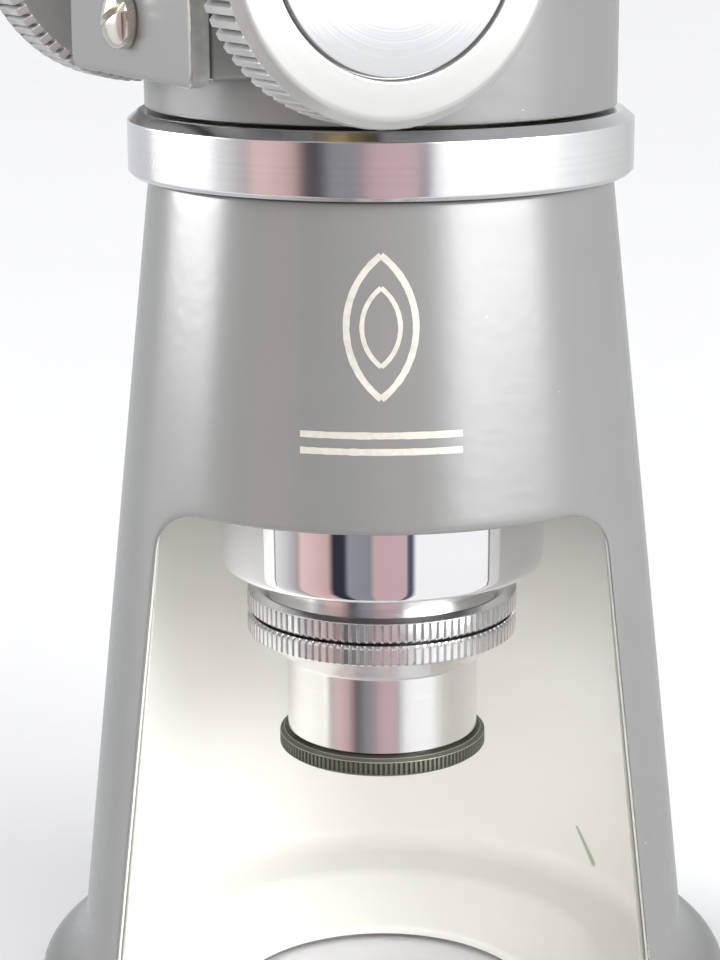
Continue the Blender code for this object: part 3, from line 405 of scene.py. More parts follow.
def stand_casting():
    blend_centre = (cone_radius(FOOT_BLEND_TOP) + FOOT_BLEND_R, FOOT_BLEND_TOP)
    blend_end = 180 + math.degrees(math.acos((blend_centre[0] - RIM_TOP[0]) / FOOT_BLEND_R))
    outer_path = [(cone_radius(FRAME_TOP), FRAME_TOP)] + arc(blend_centre, FOOT_BLEND_R, 180, blend_end, 40)
    foot_r = cone_radius(SHELF + FLOOR_FILLET) - WALL
    fillet = arc((foot_r - FLOOR_FILLET, SHELF + FLOOR_FILLET), FLOOR_FILLET, 360, 270, 24)
    inner_path = [(cone_radius(FRAME_TOP) - WALL, FRAME_TOP)] + fillet
    frame_shares = [i / FRAME_ROWS for i in range(FRAME_ROWS + 1)]
    outer_rows = resampled(outer_path, frame_shares)
    inner_rows = resampled(inner_path, frame_shares)

    shoulder_r = cone_radius(SHOULDER)
    profile = [(NECK_R - 0.3, NECK_TOP), (NECK_R, NECK_TOP - 0.3), (NECK_R, SHOULDER)]
    profile += [(shoulder_r - 0.35, SHOULDER)]
    profile += arc((shoulder_r - 0.35, SHOULDER - 0.35), 0.35, 75, 5, 4)
    profile += between((cone_radius(SHOULDER - 0.8), SHOULDER - 0.8), outer_rows[0], 20)
    outer_start = len(profile)
    profile += outer_rows
    profile += [(BASE_R - 0.55, RIM_EDGE + 0.52), (BASE_R - 0.22, RIM_EDGE + 0.2),
                (BASE_R - 0.05, RIM_EDGE - 0.1),
                (BASE_R, RIM_EDGE - 0.5)]
    profile += between((BASE_R, RIM_EDGE - 1.0), (BASE_R, BASE_CHAMFER + 0.3), 4)
    profile += arc((BASE_R - BASE_CHAMFER, BASE_CHAMFER), BASE_CHAMFER, 0, -90, 6)
    profile += between((BASE_R - 1.2, 0.0), (HOLE_R + BASE_CHAMFER, 0.0), 6)
    profile += arc((HOLE_R + BASE_CHAMFER, BASE_CHAMFER), BASE_CHAMFER, 270, 180, 4)
    ivory_start = len(profile) - 1
    profile += [(HOLE_R, HOLE_LIP - 0.35), (HOLE_R + 0.1, HOLE_LIP - 0.1), (HOLE_R + 0.35, HOLE_LIP + 0.12)]
    profile += between((HOLE_R + 0.8, HOLE_LIP + 0.42), SHELF_INNER, 8)
    profile += between(SHELF_INNER, inner_rows[-1], 6)
    inner_start = len(profile)
    profile += inner_rows[::-1]
    profile += between(inner_rows[0], (cone_radius(WEB) - WALL, WEB), 12)[1:]
    profile += [(cone_radius(WEB) - WALL, WEB), (NECK_BORE + 0.3, WEB)]
    ivory_end = len(profile) - 1
    profile += [(NECK_BORE, WEB + 0.3), (NECK_BORE, SHOULDER), (NECK_BORE, NECK_TOP - 0.3),
                (NECK_BORE + 0.3, NECK_TOP)]

    angles = [-FRAME_HALF_ANGLE + 2 * FRAME_HALF_ANGLE * i / FRAME_COLUMNS for i in range(FRAME_COLUMNS)]
    back = 2 * math.pi - 2 * FRAME_HALF_ANGLE
    angles += [FRAME_HALF_ANGLE + back * i / BACK_COLUMNS for i in range(BACK_COLUMNS)]
    columns, rows = len(angles), len(profile)
    points = [(r * math.sin(a), -r * math.cos(a), z) for r, z in profile for a in angles]
    edge = []
    for r, z in profile:
        at_rim = max(0.0, 1.0 - abs(z - RIM_EDGE) / 0.9) if r > BASE_R - 0.9 else 0.0
        edge += [at_rim] * columns

    def cell(row, column):
        return (row % rows) * columns + column % columns

    windows = (range(outer_start, outer_start + FRAME_ROWS), range(inner_start, inner_start + FRAME_ROWS))
    faces, slots = [], []
    for i in range(rows):
        open_row = i in windows[0] or i in windows[1]
        for j in range(columns):
            if open_row and j < FRAME_COLUMNS:
                continue
            faces.append((cell(i, j), cell(i + 1, j), cell(i + 1, j + 1), cell(i, j + 1)))
            slots.append(1 if ivory_start <= i < ivory_end else 0)

    def ring_of(row_of):
        """Grid points round the patch, from its upper left corner, clockwise."""
        top = [cell(row_of(0), j) for j in range(FRAME_COLUMNS)]
        right = [cell(row_of(i), FRAME_COLUMNS) for i in range(FRAME_ROWS)]
        bottom = [cell(row_of(FRAME_ROWS), j) for j in range(FRAME_COLUMNS, 0, -1)]
        left = [cell(row_of(i), 0) for i in range(FRAME_ROWS, 0, -1)]
        return top + right + bottom + left

    across = [j / FRAME_COLUMNS for j in range(FRAME_COLUMNS)]
    down = [i / FRAME_ROWS for i in range(FRAME_ROWS)]
    outline, patch = [], []
    for side, shares in zip(window_outline(), (across, down, across, down)):
        outline += resampled(side, shares)
    turn = 2 * FRAME_HALF_ANGLE
    patch += [(-FRAME_HALF_ANGLE + turn * s, 0.0) for s in across]
    patch += [(FRAME_HALF_ANGLE, s) for s in down]
    patch += [(FRAME_HALF_ANGLE - turn * s, 1.0) for s in across]
    patch += [(-FRAME_HALF_ANGLE, 1.0 - s) for s in down]

    def edge_loops(path, full_lip):
        """For each point of the outline: its place on the wall, a point set back along the wall, that point's
        (angle, share), and the set-back. Then a reader of (radius, height) at a share of the wall."""
        shares = lengths(path)
        falls = [-z for r, z in path]
        span = sum(math.dist(a, b) for a, b in zip(path, path[1:]))
        flat = []
        for x, z in outline:
            share = reading(falls, [(v,) for v in shares], -z)[0]
            r = reading(shares, path, share)[0]
            flat.append((math.asin(x / r), share, r))
        found = []
        for k, (angle, share, r) in enumerate(flat):
            ahead, behind = flat[(k + 1) % len(flat)], flat[k - 1]
            du = (ahead[0] - behind[0]) * r
            ds = (ahead[1] - behind[1]) * span
            size = math.hypot(du, ds)
            lip = SILL_LIP + (full_lip - SILL_LIP) * eased(outline[k][1], *LIP_GROWS)
            there = (angle + lip * ds / size / r, share - lip * du / size / span)
            on_wall = [Vector((radius * math.sin(turn), -radius * math.cos(turn), height))
                       for turn, (radius, height) in ((angle, reading(shares, path, share)),
                                                      (there[0], reading(shares, path, there[1])))]
            found.append((*on_wall, there, lip))
        return found, lambda s: reading(shares, path, s)

    def eased(value, low, high):
        t = min(max((value - low) / (high - low), 0.0), 1.0)
        return t * t * (3 - 2 * t)

    def wall_ring(at, near, far, share):
        """Points on a wall, part of the way between two rings of (angle, share)."""
        ring = []
        for (a0, s0), (a1, s1) in zip(near, far):
            r, z = at(s0 + (s1 - s0) * share)
            a = a0 + (a1 - a0) * share
            ring.append((r * math.sin(a), -r * math.cos(a), z))
        return ring

    outer, outer_at = edge_loops(outer_path, LIP)
    inner, inner_at = edge_loops(inner_path, INNER_LIP)
    loops = [(ring_of(lambda i: outer_start + i), 0)]

    def add_loop(loop_points, slot, mark):
        start = len(points)
        points.extend(tuple(p) for p in loop_points)
        edge.extend(mark)
        loops.append((list(range(start, len(points))), slot))

    count = len(outline)
    unmarked = [0.0] * count
    fifths = [k / 5 for k in range(1, 5)]
    for share in fifths:
        add_loop(wall_ring(outer_at, patch, [p[2] for p in outer], share), 0, unmarked)
    low_edge = [eased(RUBBED_BELOW - p[0].z, 0.0, 12.0) for p in outer]
    for k in range(9):
        t = k / 8
        ring = [rounded_off(back, corner, corner + Vector((0, lip, 0)), t) for corner, back, _, lip in outer]
        add_loop(ring, 0, [(0.45 + 0.75 * low) * math.sin(math.pi * t) for low in low_edge])
    for share in (0.12, 0.5, 0.88):
        ring = []
        for near, far in zip(outer, inner):
            start = near[0] + Vector((0, near[3], 0))
            end = far[0] - Vector((0, far[3], 0))
            ring.append(start + (end - start) * share)
        add_loop(ring, 1, unmarked)
    for k in range(6):
        t = k / 5
        ring = [rounded_off(corner - Vector((0, lip, 0)), corner, back, t) for corner, back, _, lip in inner]
        add_loop(ring, 1, [0.3 * math.sin(math.pi * t)] * count)
    for share in fifths:
        add_loop(wall_ring(inner_at, [p[2] for p in inner], patch, share), 1, unmarked)
    loops.append((ring_of(lambda i: inner_start + FRAME_ROWS - i), 1))
    for (first, _), (second, slot) in zip(loops, loops[1:]):
        for k in range(count):
            after = (k + 1) % count
            faces.append((first[k], second[k], second[after], first[after]))
            slots.append(slot)
    piece = new_piece("stand_shell", points, faces, [GREY_ENAMEL, IVORY_ENAMEL], slots=slots, edge=edge)
    return reworked(piece, lambda shape: bmesh.ops.delete(
        shape, geom=[v for v in shape.verts if not v.link_faces], context="VERTS"))


def settle(piece, body, slot, *nodes):
    """Hangs a finished piece on its CAD body, in place of its CAD nodes."""
    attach(piece, body)
    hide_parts(*nodes)
    return piece


settle(stand_casting(), "stand", "grey_enamel", "stand_casting")

# ---- Clamp ring ----
# The broad bright ring that holds the head down on the stand: aluminium bar, faced and chamfered on the lathe
# and left bare.
RING_STEPS = 256
RING_CHAMFER_WIDE = 1.1
RING_CHAMFER_TALL = 0.9
RING_FOOT_CHAMFER = 0.45


def softened(corners, closed):
    """The profile with each corner rounded over its own length: (radius, height, edge mark, rib cut)."""
    found = []
    count = len(corners)
    for i, corner in enumerate(corners):
        r, z, rounding, cut = (*corner, 0.0, 0.0)[:4]
        here = Vector((r, z))
        if not rounding or (not closed and i in (0, count - 1)):
            found.append((r, z, 0.0, cut))
            continue
        before = Vector(corners[i - 1][:2]) - here
        after = Vector(corners[(i + 1) % count][:2]) - here
        first = min(rounding, 0.45 * before.length)
        last = min(rounding, 0.45 * after.length)
        if before.length > 2.4 * first:
            found.append((*(here + before.normalized() * first * 1.5), 0.0, cut))
        start, end = here + before.normalized() * first, here + after.normalized() * last
        for k in range(5):
            t = k / 4
            found.append((*rounded_off(start, here, end, t), math.sin(math.pi * t), cut))
        if after.length > 2.4 * last:
            found.append((*(here + after.normalized() * last * 1.5), 0.0, cut))
    return found


def turned(name, corners, finishes, place=UPRIGHT, steps=RING_STEPS, ribs=None):
    """A lathe piece about its own Z. The corners run down its outside and back up its bore; a profile that
    starts on the axis ends on it. ribs = (count, shape), the shape being (share of a pitch, depth 0..1)."""
    closed = corners[0][0] > 0
    profile = softened(corners, closed)
    if ribs:
        count, shape = ribs
        spokes = [(2 * math.pi * (k + share) / count, depth) for k in range(count) for share, depth in shape]
    else:
        spokes = [(2 * math.pi * k / steps, 0.0) for k in range(steps)]
    points, edge, hollow, rings = [], [], [], []
    for r, z, mark, cut in profile:
        if r == 0:
            rings.append([len(points)])
            points.append((0.0, 0.0, z))
            edge.append(0.0)
            hollow.append(0.0)
            continue
        rings.append(list(range(len(points), len(points) + len(spokes))))
        for angle, depth in spokes:
            out = r - cut * depth
            points.append((out * math.cos(angle), out * math.sin(angle), z))
            edge.append(mark * 0.3 if cut and depth >= 0.5 else mark)
            hollow.append(depth if cut else 0.0)
    faces = []
    turns = len(spokes)
    pairs = list(zip(rings, rings[1:])) + ([(rings[-1], rings[0])] if closed else [])
    for upper, lower in pairs:
        for j in range(turns):
            k = (j + 1) % turns
            if len(upper) == 1:
                faces.append((upper[0], lower[j], lower[k]))
            elif len(lower) == 1:
                faces.append((upper[j], lower[0], upper[k]))
            else:
                faces.append((upper[j], lower[j], lower[k], upper[k]))
    return new_piece(name, points, faces, finishes, place, edge=edge, hollow=hollow)


# Its groove amount and groove tone paint packed grime together with painted shade in the grooves.
def metal(name, bright, dull, roughness, pitch, depth, scratches=0.4, specks=0.05, dirt_and_shade=0.6,
          soil_and_shade=(0.09, 0.085, 0.07),
          rub=0.0, bare=(0.8, 0.79, 0.76), metallic=1.0, cloud=5.0):
    """Machined metal: lathe lines, cloudy tarnish, hair scratches, grooves with grime and painted shade,
    rubbed edges.
    """
    made, tree, shader, place = new_finish(name)
    marks = placed(tree, MARKS, Place=place, Cloud_Size=cloud, Speck_Share=specks, Scratch_Share=scratches)
    lines = placed(tree, LINES, Place=place, Pitch=pitch)
    # The grooves darken by their depth: packed grime together with painted shade at their bottoms.
    soiled_and_shaded = placed(tree, DIRT_AND_SHADE, Place=place, Amount=dirt_and_shade)["Dirt"]
    worn = placed(tree, RUB, Place=place, Amount=rub)["Rubbed"]
    tone = scaled(tree, lines["Streaks"], 0.5, maths(tree, "MULTIPLY", marks["Clouds"], 0.5))
    colour = layered(tree, bright, (tone, dull), (worn, bare),
                     (marks["Specks"], tuple(0.55 * c for c in dull)),
                     (soiled_and_shaded, soil_and_shade))
    rough = scaled(tree, marks["Clouds"], 0.25 * roughness, roughness)
    rough = scaled(tree, soiled_and_shaded, 0.4, scaled(tree, marks["Scratches"], 0.12, rough))
    height = scaled(tree, marks["Scratches"], -0.5, lines["Height"])
    height = scaled(tree, marks["Specks"], -0.6, height)
    wire(tree, shader, Base_Color=colour, Roughness=rough, Metallic=scaled(tree, soiled_and_shaded, -metallic, metallic),
         Normal=bumped(tree, height, depth))
    return made


SATIN_ALUMINIUM = metal("satin_aluminium", (0.88, 0.88, 0.89), (0.80, 0.80, 0.81), 0.16, 0.09, 0.0022,
                        specks=0.12, dirt_and_shade=0.5)
ring_low, ring_high = node_box("clamp_ring")
ring_r = ring_high[0]
ring_face_top = ring_high[2] - RING_CHAMFER_TALL
ring = turned("clamp_ring_bright", [
    (ring_r - RING_CHAMFER_WIDE, ring_high[2], 0.12), (ring_r, ring_face_top, 0.10),
    (ring_r, ring_low[2] + RING_FOOT_CHAMFER, 0.08), (ring_r - RING_FOOT_CHAMFER, ring_low[2], 0.08),
    (NECK_R + 0.3, ring_low[2], 0.1), (NECK_R + 0.3, ring_high[2], 0.1)], [SATIN_ALUMINIUM])
settle(ring, "stand", "bright_aluminium", "clamp_ring")

# ---- Stand ornament ----
# A plain ornament engraved through the enamel below the ring: one lens outline inside another, over a double
# rule. The cuts show bare, rough metal.
ORNAMENT_HEIGHT = 79.2
LENS_TALL = 13.0
LENS_WIDE = 6.4
LINE_WIDE = 0.62
RULE_HEIGHT = 68.6
RULE_HALF = 7.6
LINE_PROUD = 0.018
LINE_SUNK = 0.12


def bow(x_sign, scale, count=40):
    """One side of a lens outline, from its lower point to its upper point."""
    half = LENS_TALL / 2 * scale
    reach = LENS_WIDE / 2 * scale
    radius = (half ** 2 + reach ** 2) / (2 * reach)
    side = []
    for k in range(count + 1):
        height = -half + 2 * half * k / count
        side.append((x_sign * (math.sqrt(radius ** 2 - height ** 2) - (radius - reach)),
                     ORNAMENT_HEIGHT + height))
    return side


def engraved(name, strokes, finish):
    """Narrow strips laid on the cone along each stroke: (points across and up, width)."""
    points, faces = [], []
    for stroke, wide in strokes:
        start = len(points)
        for i, (u, z) in enumerate(stroke):
            ahead, behind = stroke[min(i + 1, len(stroke) - 1)], stroke[max(i - 1, 0)]
            run = Vector((ahead[0] - behind[0], ahead[1] - behind[1])).normalized()
            ragged = 1.0 + 0.16 * noise.noise(Vector((u * 2.1, z * 2.1, 3.0)))
            across = Vector((-run.y, run.x)) * (wide / 2 * ragged)
            for side, rise in ((1, -LINE_SUNK), (1, LINE_PROUD), (-1, LINE_PROUD), (-1, -LINE_SUNK)):
                su, sz = u + across.x * side, z + across.y * side
                r = cone_radius(sz)
                angle = su / r
                points.append(((r + rise) * math.sin(angle), -(r + rise) * math.cos(angle), sz))
        last = len(stroke) - 1
        for i in range(last):
            for k in range(4):
                a, b = start + 4 * i + k, start + 4 * i + (k + 1) % 4
                faces.append((a, b, b + 4, a + 4))
        faces.append((start + 3, start + 2, start + 1, start))
        faces.append(tuple(start + 4 * last + k for k in range(4)))
    return reworked(new_piece(name, points, faces, [finish]),
                    lambda shape: bmesh.ops.recalc_face_normals(shape, faces=shape.faces))


def level_line(start, end, height):
    return [(start + (end - start) * k / 24, height) for k in range(25)]


ENGRAVED_METAL = metal("engraved_metal", (0.62, 0.60, 0.54), (0.44, 0.42, 0.37), 0.5, 0.25, 0.03, specks=0.5,
                       cloud=0.6, dirt_and_shade=0.3, metallic=0.35)
ornament = engraved("stand_ornament", [
    (bow(1, 1.0), LINE_WIDE), (bow(-1, 1.0), LINE_WIDE), (bow(1, 0.55), LINE_WIDE * 0.7),
    (bow(-1, 0.55), LINE_WIDE * 0.7),
    (level_line(-RULE_HALF, RULE_HALF, RULE_HEIGHT + 0.75), LINE_WIDE),
    (level_line(-RULE_HALF, RULE_HALF, RULE_HEIGHT - 0.75), LINE_WIDE)], ENGRAVED_METAL)
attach(ornament, "stand")

# ---- Head housing ----
# The turned drum over the ring, with the square rack box standing out of its side. Aluminium, enamelled like
# the stand; the box's face is pocketed for the bearing block and drilled for the plate's screws.
HOUSE_R = 23.25
HOUSING_EDGE = 2.5
HOUSING_WALL = 2.4
HOUSING_LID = 3.0
BOX_REACH = 24.4
BOX_HALF_WIDE = 14.4
BOX_HALF_TALL = 12.4
BLOCK_HALF_WIDE = 8.7
BLOCK_HALF_TALL = 4.3
PLATE_SCREW_HALF = 7.6
PLATE_HOLE_R = 1.8
PLATE_HOLE_DEEP = 6.5
BUSH_ROOM = 4.3
GUIDE_BORE_R = 13.15
GUIDE_SCREW_CIRCLE = 16.8
GUIDE_SCREWS = 3
GUIDE_HOLE_R = 1.3
FIT = 0.3

front_low, front_high = node_box("focus_knob_front")
rear_low, rear_high = node_box("focus_knob_rear")
front_centre = Vector([(a + b) / 2 for a, b in zip(front_low, front_high)])
rear_centre = Vector([(a + b) / 2 for a, b in zip(rear_low, rear_high)])
shaft_way = (front_centre - rear_centre).normalized()
shaft_centre = (front_centre + rear_centre) / 2
head_turn = math.atan2(shaft_way.x, -shaft_way.y)
HEAD = Matrix.Rotation(head_turn, 4, "Z")
SHAFT_X = -math.hypot(shaft_centre.x, shaft_centre.y)
SHAFT_Z = shaft_centre.z


def head_place(x, y, z, turn=UPRIGHT):
    """A place in the head's own axes, in millimetres: -X to the cover plate, -Y to the front knob."""
    return HEAD @ Matrix.Translation(Vector((x, y, z)) * MM) @ turn


def made_real(piece):
    bpy.context.view_layer.update()
    graph = bpy.context.evaluated_depsgraph_get()
    piece.data = bpy.data.meshes.new_from_object(piece.evaluated_get(graph))
    piece.modifiers.clear()
    return creased(piece)


def carve(piece, *tools, joining=False):
    """Cuts each helper shape out of a piece, or joins it on."""
    for tool in tools:
        change = piece.modifiers.new("carve", "BOOLEAN")
        change.operation = "UNION" if joining else "DIFFERENCE"
        change.solver = "EXACT"
        change.object = tool
        made_real(piece)
        bpy.data.objects.remove(tool)
    return piece


def bar(name, low, high, place=UPRIGHT, rounding=0.0, finish=None):
    """A square bar between two corners, with rounded edges where wanted."""
    shape = bmesh.new()
    bmesh.ops.create_cube(shape, size=1.0)
    for vertex in shape.verts:
        vertex.co = [(a + b) / 2 + c * (b - a) for a, b, c in zip(low, high, vertex.co)]
    if rounding:
        bmesh.ops.bevel(shape, geom=shape.edges, offset=rounding, segments=4, profile=0.5, affect="EDGES")
    shape.verts.ensure_lookup_table()
    points = [tuple(v.co) for v in shape.verts]
    faces = [tuple(v.index for v in face.verts) for face in shape.faces]
    shape.free()
    return new_piece(name, points, faces, [finish] if finish else [], place)


def pin(radius, start, end, place=UPRIGHT, steps=64):
    """A round cutter along its own Z."""
    return turned("pin", [(0.0, end), (radius, end), (radius, start), (0.0, start)], [], place, steps)


ALONG_Y = Matrix.Rotation(math.radians(90), 4, "X")
ALONG_X = Matrix.Rotation(math.radians(-90), 4, "Y")
house_low, house_high = node_box("head_housing")
housing = turned("head_drum", [
    (GUIDE_BORE_R, house_high[2], 0.1), (HOUSE_R, house_high[2], HOUSING_EDGE), (HOUSE_R, house_low[2], 0.25),
    (HOUSE_R - HOUSING_WALL, house_low[2], 0.1), (HOUSE_R - HOUSING_WALL, house_high[2] - HOUSING_LID),
    (GUIDE_BORE_R, house_high[2] - HOUSING_LID)], [GREY_ENAMEL], HEAD)
carve(housing,
      bar("rack_box", (-BOX_REACH, -BOX_HALF_WIDE, -BOX_HALF_TALL), (-15.0, BOX_HALF_WIDE, BOX_HALF_TALL),
                   head_place(0, 0, SHAFT_Z), 0.45, GREY_ENAMEL), joining=True)
carve(housing,
      bar("pocket", (-BOX_REACH - 4, -BLOCK_HALF_WIDE - FIT, -BLOCK_HALF_TALL - FIT),
          (0, BLOCK_HALF_WIDE + FIT, BLOCK_HALF_TALL + FIT), head_place(0, 0, SHAFT_Z)),
      pin(BUSH_ROOM, -40, 40, head_place(SHAFT_X, 0, SHAFT_Z, ALONG_Y)),
      pin(GUIDE_BORE_R, house_low[2] - 5, house_high[2] + 5, HEAD, 128),
      *[pin(PLATE_HOLE_R, BOX_REACH - PLATE_HOLE_DEEP, BOX_REACH + 5,
            head_place(0, 0, SHAFT_Z + side * PLATE_SCREW_HALF, ALONG_X)) for side in (-1, 1)])
guide_spots = []
for i in range(GUIDE_SCREWS):
    angle = 2 * math.pi * (i + 0.5) / GUIDE_SCREWS
    guide_spots.append((GUIDE_SCREW_CIRCLE * math.cos(angle), GUIDE_SCREW_CIRCLE * math.sin(angle)))
    carve(housing, pin(GUIDE_HOLE_R, -6, 4, head_place(*guide_spots[-1], house_high[2])))
settle(housing, "head", "grey_enamel", "head_housing")

# ---- Guide sleeve ----
# A slotted aluminium sleeve that the draw tube slides in, let into the drum and held down by three small
# round-head screws through its flange.
GUIDE_BORE = 10.65
GUIDE_R = 12.85
FLANGE_R = 20.0
FLANGE_THICK = 2.2
RACK_SLOT_HALF = 2.6
sleeve_low, sleeve_high = node_box("guide_sleeve")
flange_low = sleeve_high[2] - FLANGE_THICK
TURNED_ALUMINIUM = metal("turned_aluminium", (0.84, 0.84, 0.84), (0.72, 0.72, 0.72), 0.21, 0.16, 0.004,
                         dirt_and_shade=0.5)
sleeve = turned("guide_flange", [
    (FLANGE_R, sleeve_high[2], 0.5), (FLANGE_R, flange_low, 0.2), (GUIDE_R, flange_low, 0.1),
    (GUIDE_R, sleeve_low[2], 0.1), (GUIDE_BORE, sleeve_low[2], 0.1), (GUIDE_BORE, sleeve_high[2], 0.3)],
    [TURNED_ALUMINIUM], HEAD)
carve(sleeve, bar("rack_slot", (-GUIDE_R - 1, -RACK_SLOT_HALF, sleeve_low[2] - 5),
                  (-5.2, RACK_SLOT_HALF, sleeve_high[2] + 5), HEAD))
for spot in guide_spots:
    carve(sleeve, pin(GUIDE_HOLE_R, -6, 4, head_place(*spot, sleeve_high[2])))
settle(sleeve, "head", "bright_aluminium", "guide_sleeve")

# ---- Screws ----
# Nickel-plated round-head screws with sawn slots: three in the guide flange and two in the cover plate.
SLOT_TURN = math.radians(28)
NICKEL = metal("nickel", (0.80, 0.76, 0.70), (0.62, 0.58, 0.52), 0.17, 0.10, 0.003, scratches=0.7, specks=0.3,
               dirt_and_shade=0.7)


def slotted_screw(name, place, head_r, head_tall, shank_r, shank_long, steps=72):
    """A round head standing on the piece it holds, with its shank below."""
    side = head_tall * 0.42
    dome = [(head_r * math.sin(a), side + (head_tall - side) * math.cos(a))
            for a in (math.radians(90 * k / 9) for k in range(10))]
    dome[0] = (0.0, head_tall)
    screw = turned(name, dome + [(head_r, 0.02, 0.12), (shank_r, 0.02), (shank_r, -shank_long, 0.3),
                                 (0.0, -shank_long)], [NICKEL], place, steps)
    slot_half = head_r * 0.15
    carve(screw,
          bar("saw", (-head_r * 1.3, -slot_half, head_tall * 0.45), (head_r * 1.3, slot_half, head_tall * 2),
                     place @ Matrix.Rotation(SLOT_TURN, 4, "Z")))
    soft = screw.modifiers.new("edges", "BEVEL")
    soft.width = 0.055 * MM
    soft.segments = 2
    soft.limit_method = "ANGLE"
    soft.angle_limit = math.radians(40)
    return made_real(screw)


for i, spot in enumerate(guide_spots):
    screw = slotted_screw(f"flange_screw_{i + 1}", head_place(*spot, sleeve_high[2] + 0.02), 1.9, 1.08, 1.0,
                          4.4)
    settle(screw, "head", "nickel", f"guide_screw_{i + 1}")

# ---- Cover plate ----
# A sawn and drilled plate that closes the rack box. Its face is enamelled; its cut edges are left rough and
# bare. Two screws hold it.
PLATE_HALF_WIDE = 15.0
PLATE_HALF_TALL = 13.0
PLATE_THICK = 1.9
PLATE_CORNER = 1.4
PLATE_INNER = 24.7


def rounded_rectangle(half_wide, half_tall, corner, steps=8):
    found = []
    for x, y, start in ((half_wide, half_tall, 0), (-half_wide, half_tall, 90), (-half_wide, -half_tall, 180),
                        (half_wide, -half_tall, 270)):
        centre = (x - math.copysign(corner, x), y - math.copysign(corner, y))
        found += arc(centre, corner, start, start + 90, steps)
    return found


def cut_plate(name, place, finishes):
    """A plate from its own XY plane up, faces in the first finish and sawn edges in the second."""
    steps = [(1.2, 0.0, 0), (0.35, 0.0, 0), (0.12, 0.02, 1), (0.0, 0.14, 1), (0.0, 0.6, 1), (0.0, 1.3, 1),
             (0.0, PLATE_THICK - 0.22, 1), (0.07, PLATE_THICK - 0.07, 0), (0.22, PLATE_THICK, 0),
             (0.6, PLATE_THICK, 0), (1.3, PLATE_THICK, 0)]
    points, faces, slots, edge = [], [], [], []
    for inset, height, _ in steps:
        ring = rounded_rectangle(PLATE_HALF_WIDE - inset, PLATE_HALF_TALL - inset,
                                 max(PLATE_CORNER - inset, 0.1))
        for x, y in ring:
            sawn = 0.05 * noise.noise(Vector((x * 0.9, y * 0.9,
                                              height * 2.0))) if 0.1 < height < 1.75 else 0.0
            points.append((x * (1 - sawn / 15), y * (1 - sawn / 13), height))
            edge.append(1.0 if 0.0 < PLATE_THICK - height < 0.25 else 0.0)
    count = len(ring)
    for level, (_, _, slot) in enumerate(steps[:-1]):
        for k in range(count):
            a, b = level * count + k, level * count + (k + 1) % count
            faces.append((a, b, b + count, a + count))
            slots.append(slot if steps[level + 1][2] else min(slot, steps[level + 1][2]))
    faces += [tuple(range(count - 1, -1, -1)), tuple((len(steps) - 1) * count + k for k in range(count))]
    slots += [0, 0]
    return new_piece(name, points, faces, finishes, place, slots=slots, edge=edge)


SAWN_EDGE = metal("sawn_edge", (0.40, 0.41, 0.37), (0.26, 0.27, 0.24), 0.48, 0.35, 0.02, specks=0.5,
                  cloud=1.2,
                  metallic=0.5)
OUTWARD = Matrix(((0, 0, -1, 0), (-1, 0, 0, 0), (0, 1, 0, 0), (0, 0, 0, 1)))
plate = cut_plate("cover_plate", head_place(-PLATE_INNER, 0, SHAFT_Z, OUTWARD), [GREY_ENAMEL, SAWN_EDGE])
for name, side in (("lower", -1), ("upper", 1)):
    carve(plate,
          pin(PLATE_HOLE_R, -2, 5, head_place(-PLATE_INNER, 0, SHAFT_Z + side * PLATE_SCREW_HALF, OUTWARD)))
    seat = head_place(-PLATE_INNER - PLATE_THICK - 0.02, 0, SHAFT_Z + side * PLATE_SCREW_HALF, OUTWARD)
    screw = slotted_screw(f"plate_screw_{name}", seat, 2.75, 2.25, 1.5, 7.4)
    settle(screw, "head", "nickel", f"cover_screw_{name}")
settle(plate, "head", "grey_enamel", "rack_cover_plate")

# ---- Focus knobs ----
# Two broad knobs with coarse square ribs milled round the rim, smooth chamfers each side and a sunk face that
# takes a thin bright inlay disc. Cast in grey alloy, lightly polished where fingers turn them.
KNOB_RIBS = 76
KNOB_RIB_SHAPE = ((0.0, 0.0), (0.50, 0.0), (0.56, 0.12), (0.66, 1.0), (0.88, 1.0), (0.96, 0.12))
KNOB_RIB_DEPTH = 0.75
KNOB_CHAMFER = 0.95
KNOB_FACE_R = 11.5
KNOB_SINK = 0.9
KNOB_BORE = 2.3
NUT_ROOM_R = 4.4
NUT_ROOM = 3.2
INLAY_GAP = 0.3
INLAY_THICK = 0.55

knob_r = (front_high[2] - front_low[2]) / 2
knob_long = ((front_high[0] - front_low[0]) - 2 * knob_r * math.cos(head_turn)) / math.sin(head_turn)
knob_face = (front_centre - shaft_centre).length + knob_long / 2
knob_back = knob_face - knob_long
# Its grooves are darkened: grime with painted shade between the ribs.
KNOB_GREY = metal("knob_grey", (0.40, 0.40, 0.39), (0.33, 0.33, 0.32), 0.15, 0.30, 0.003, scratches=0.3,
                  specks=0.12, dirt_and_shade=0.85, soil_and_shade=(0.10, 0.095, 0.085), rub=0.25, bare=(0.74, 0.74, 0.72),
                  metallic=0.45)
INLAY_BRIGHT = metal("inlay_bright", (0.74, 0.75, 0.77), (0.67, 0.68, 0.70), 0.06, 0.22, 0.001, scratches=0.3)

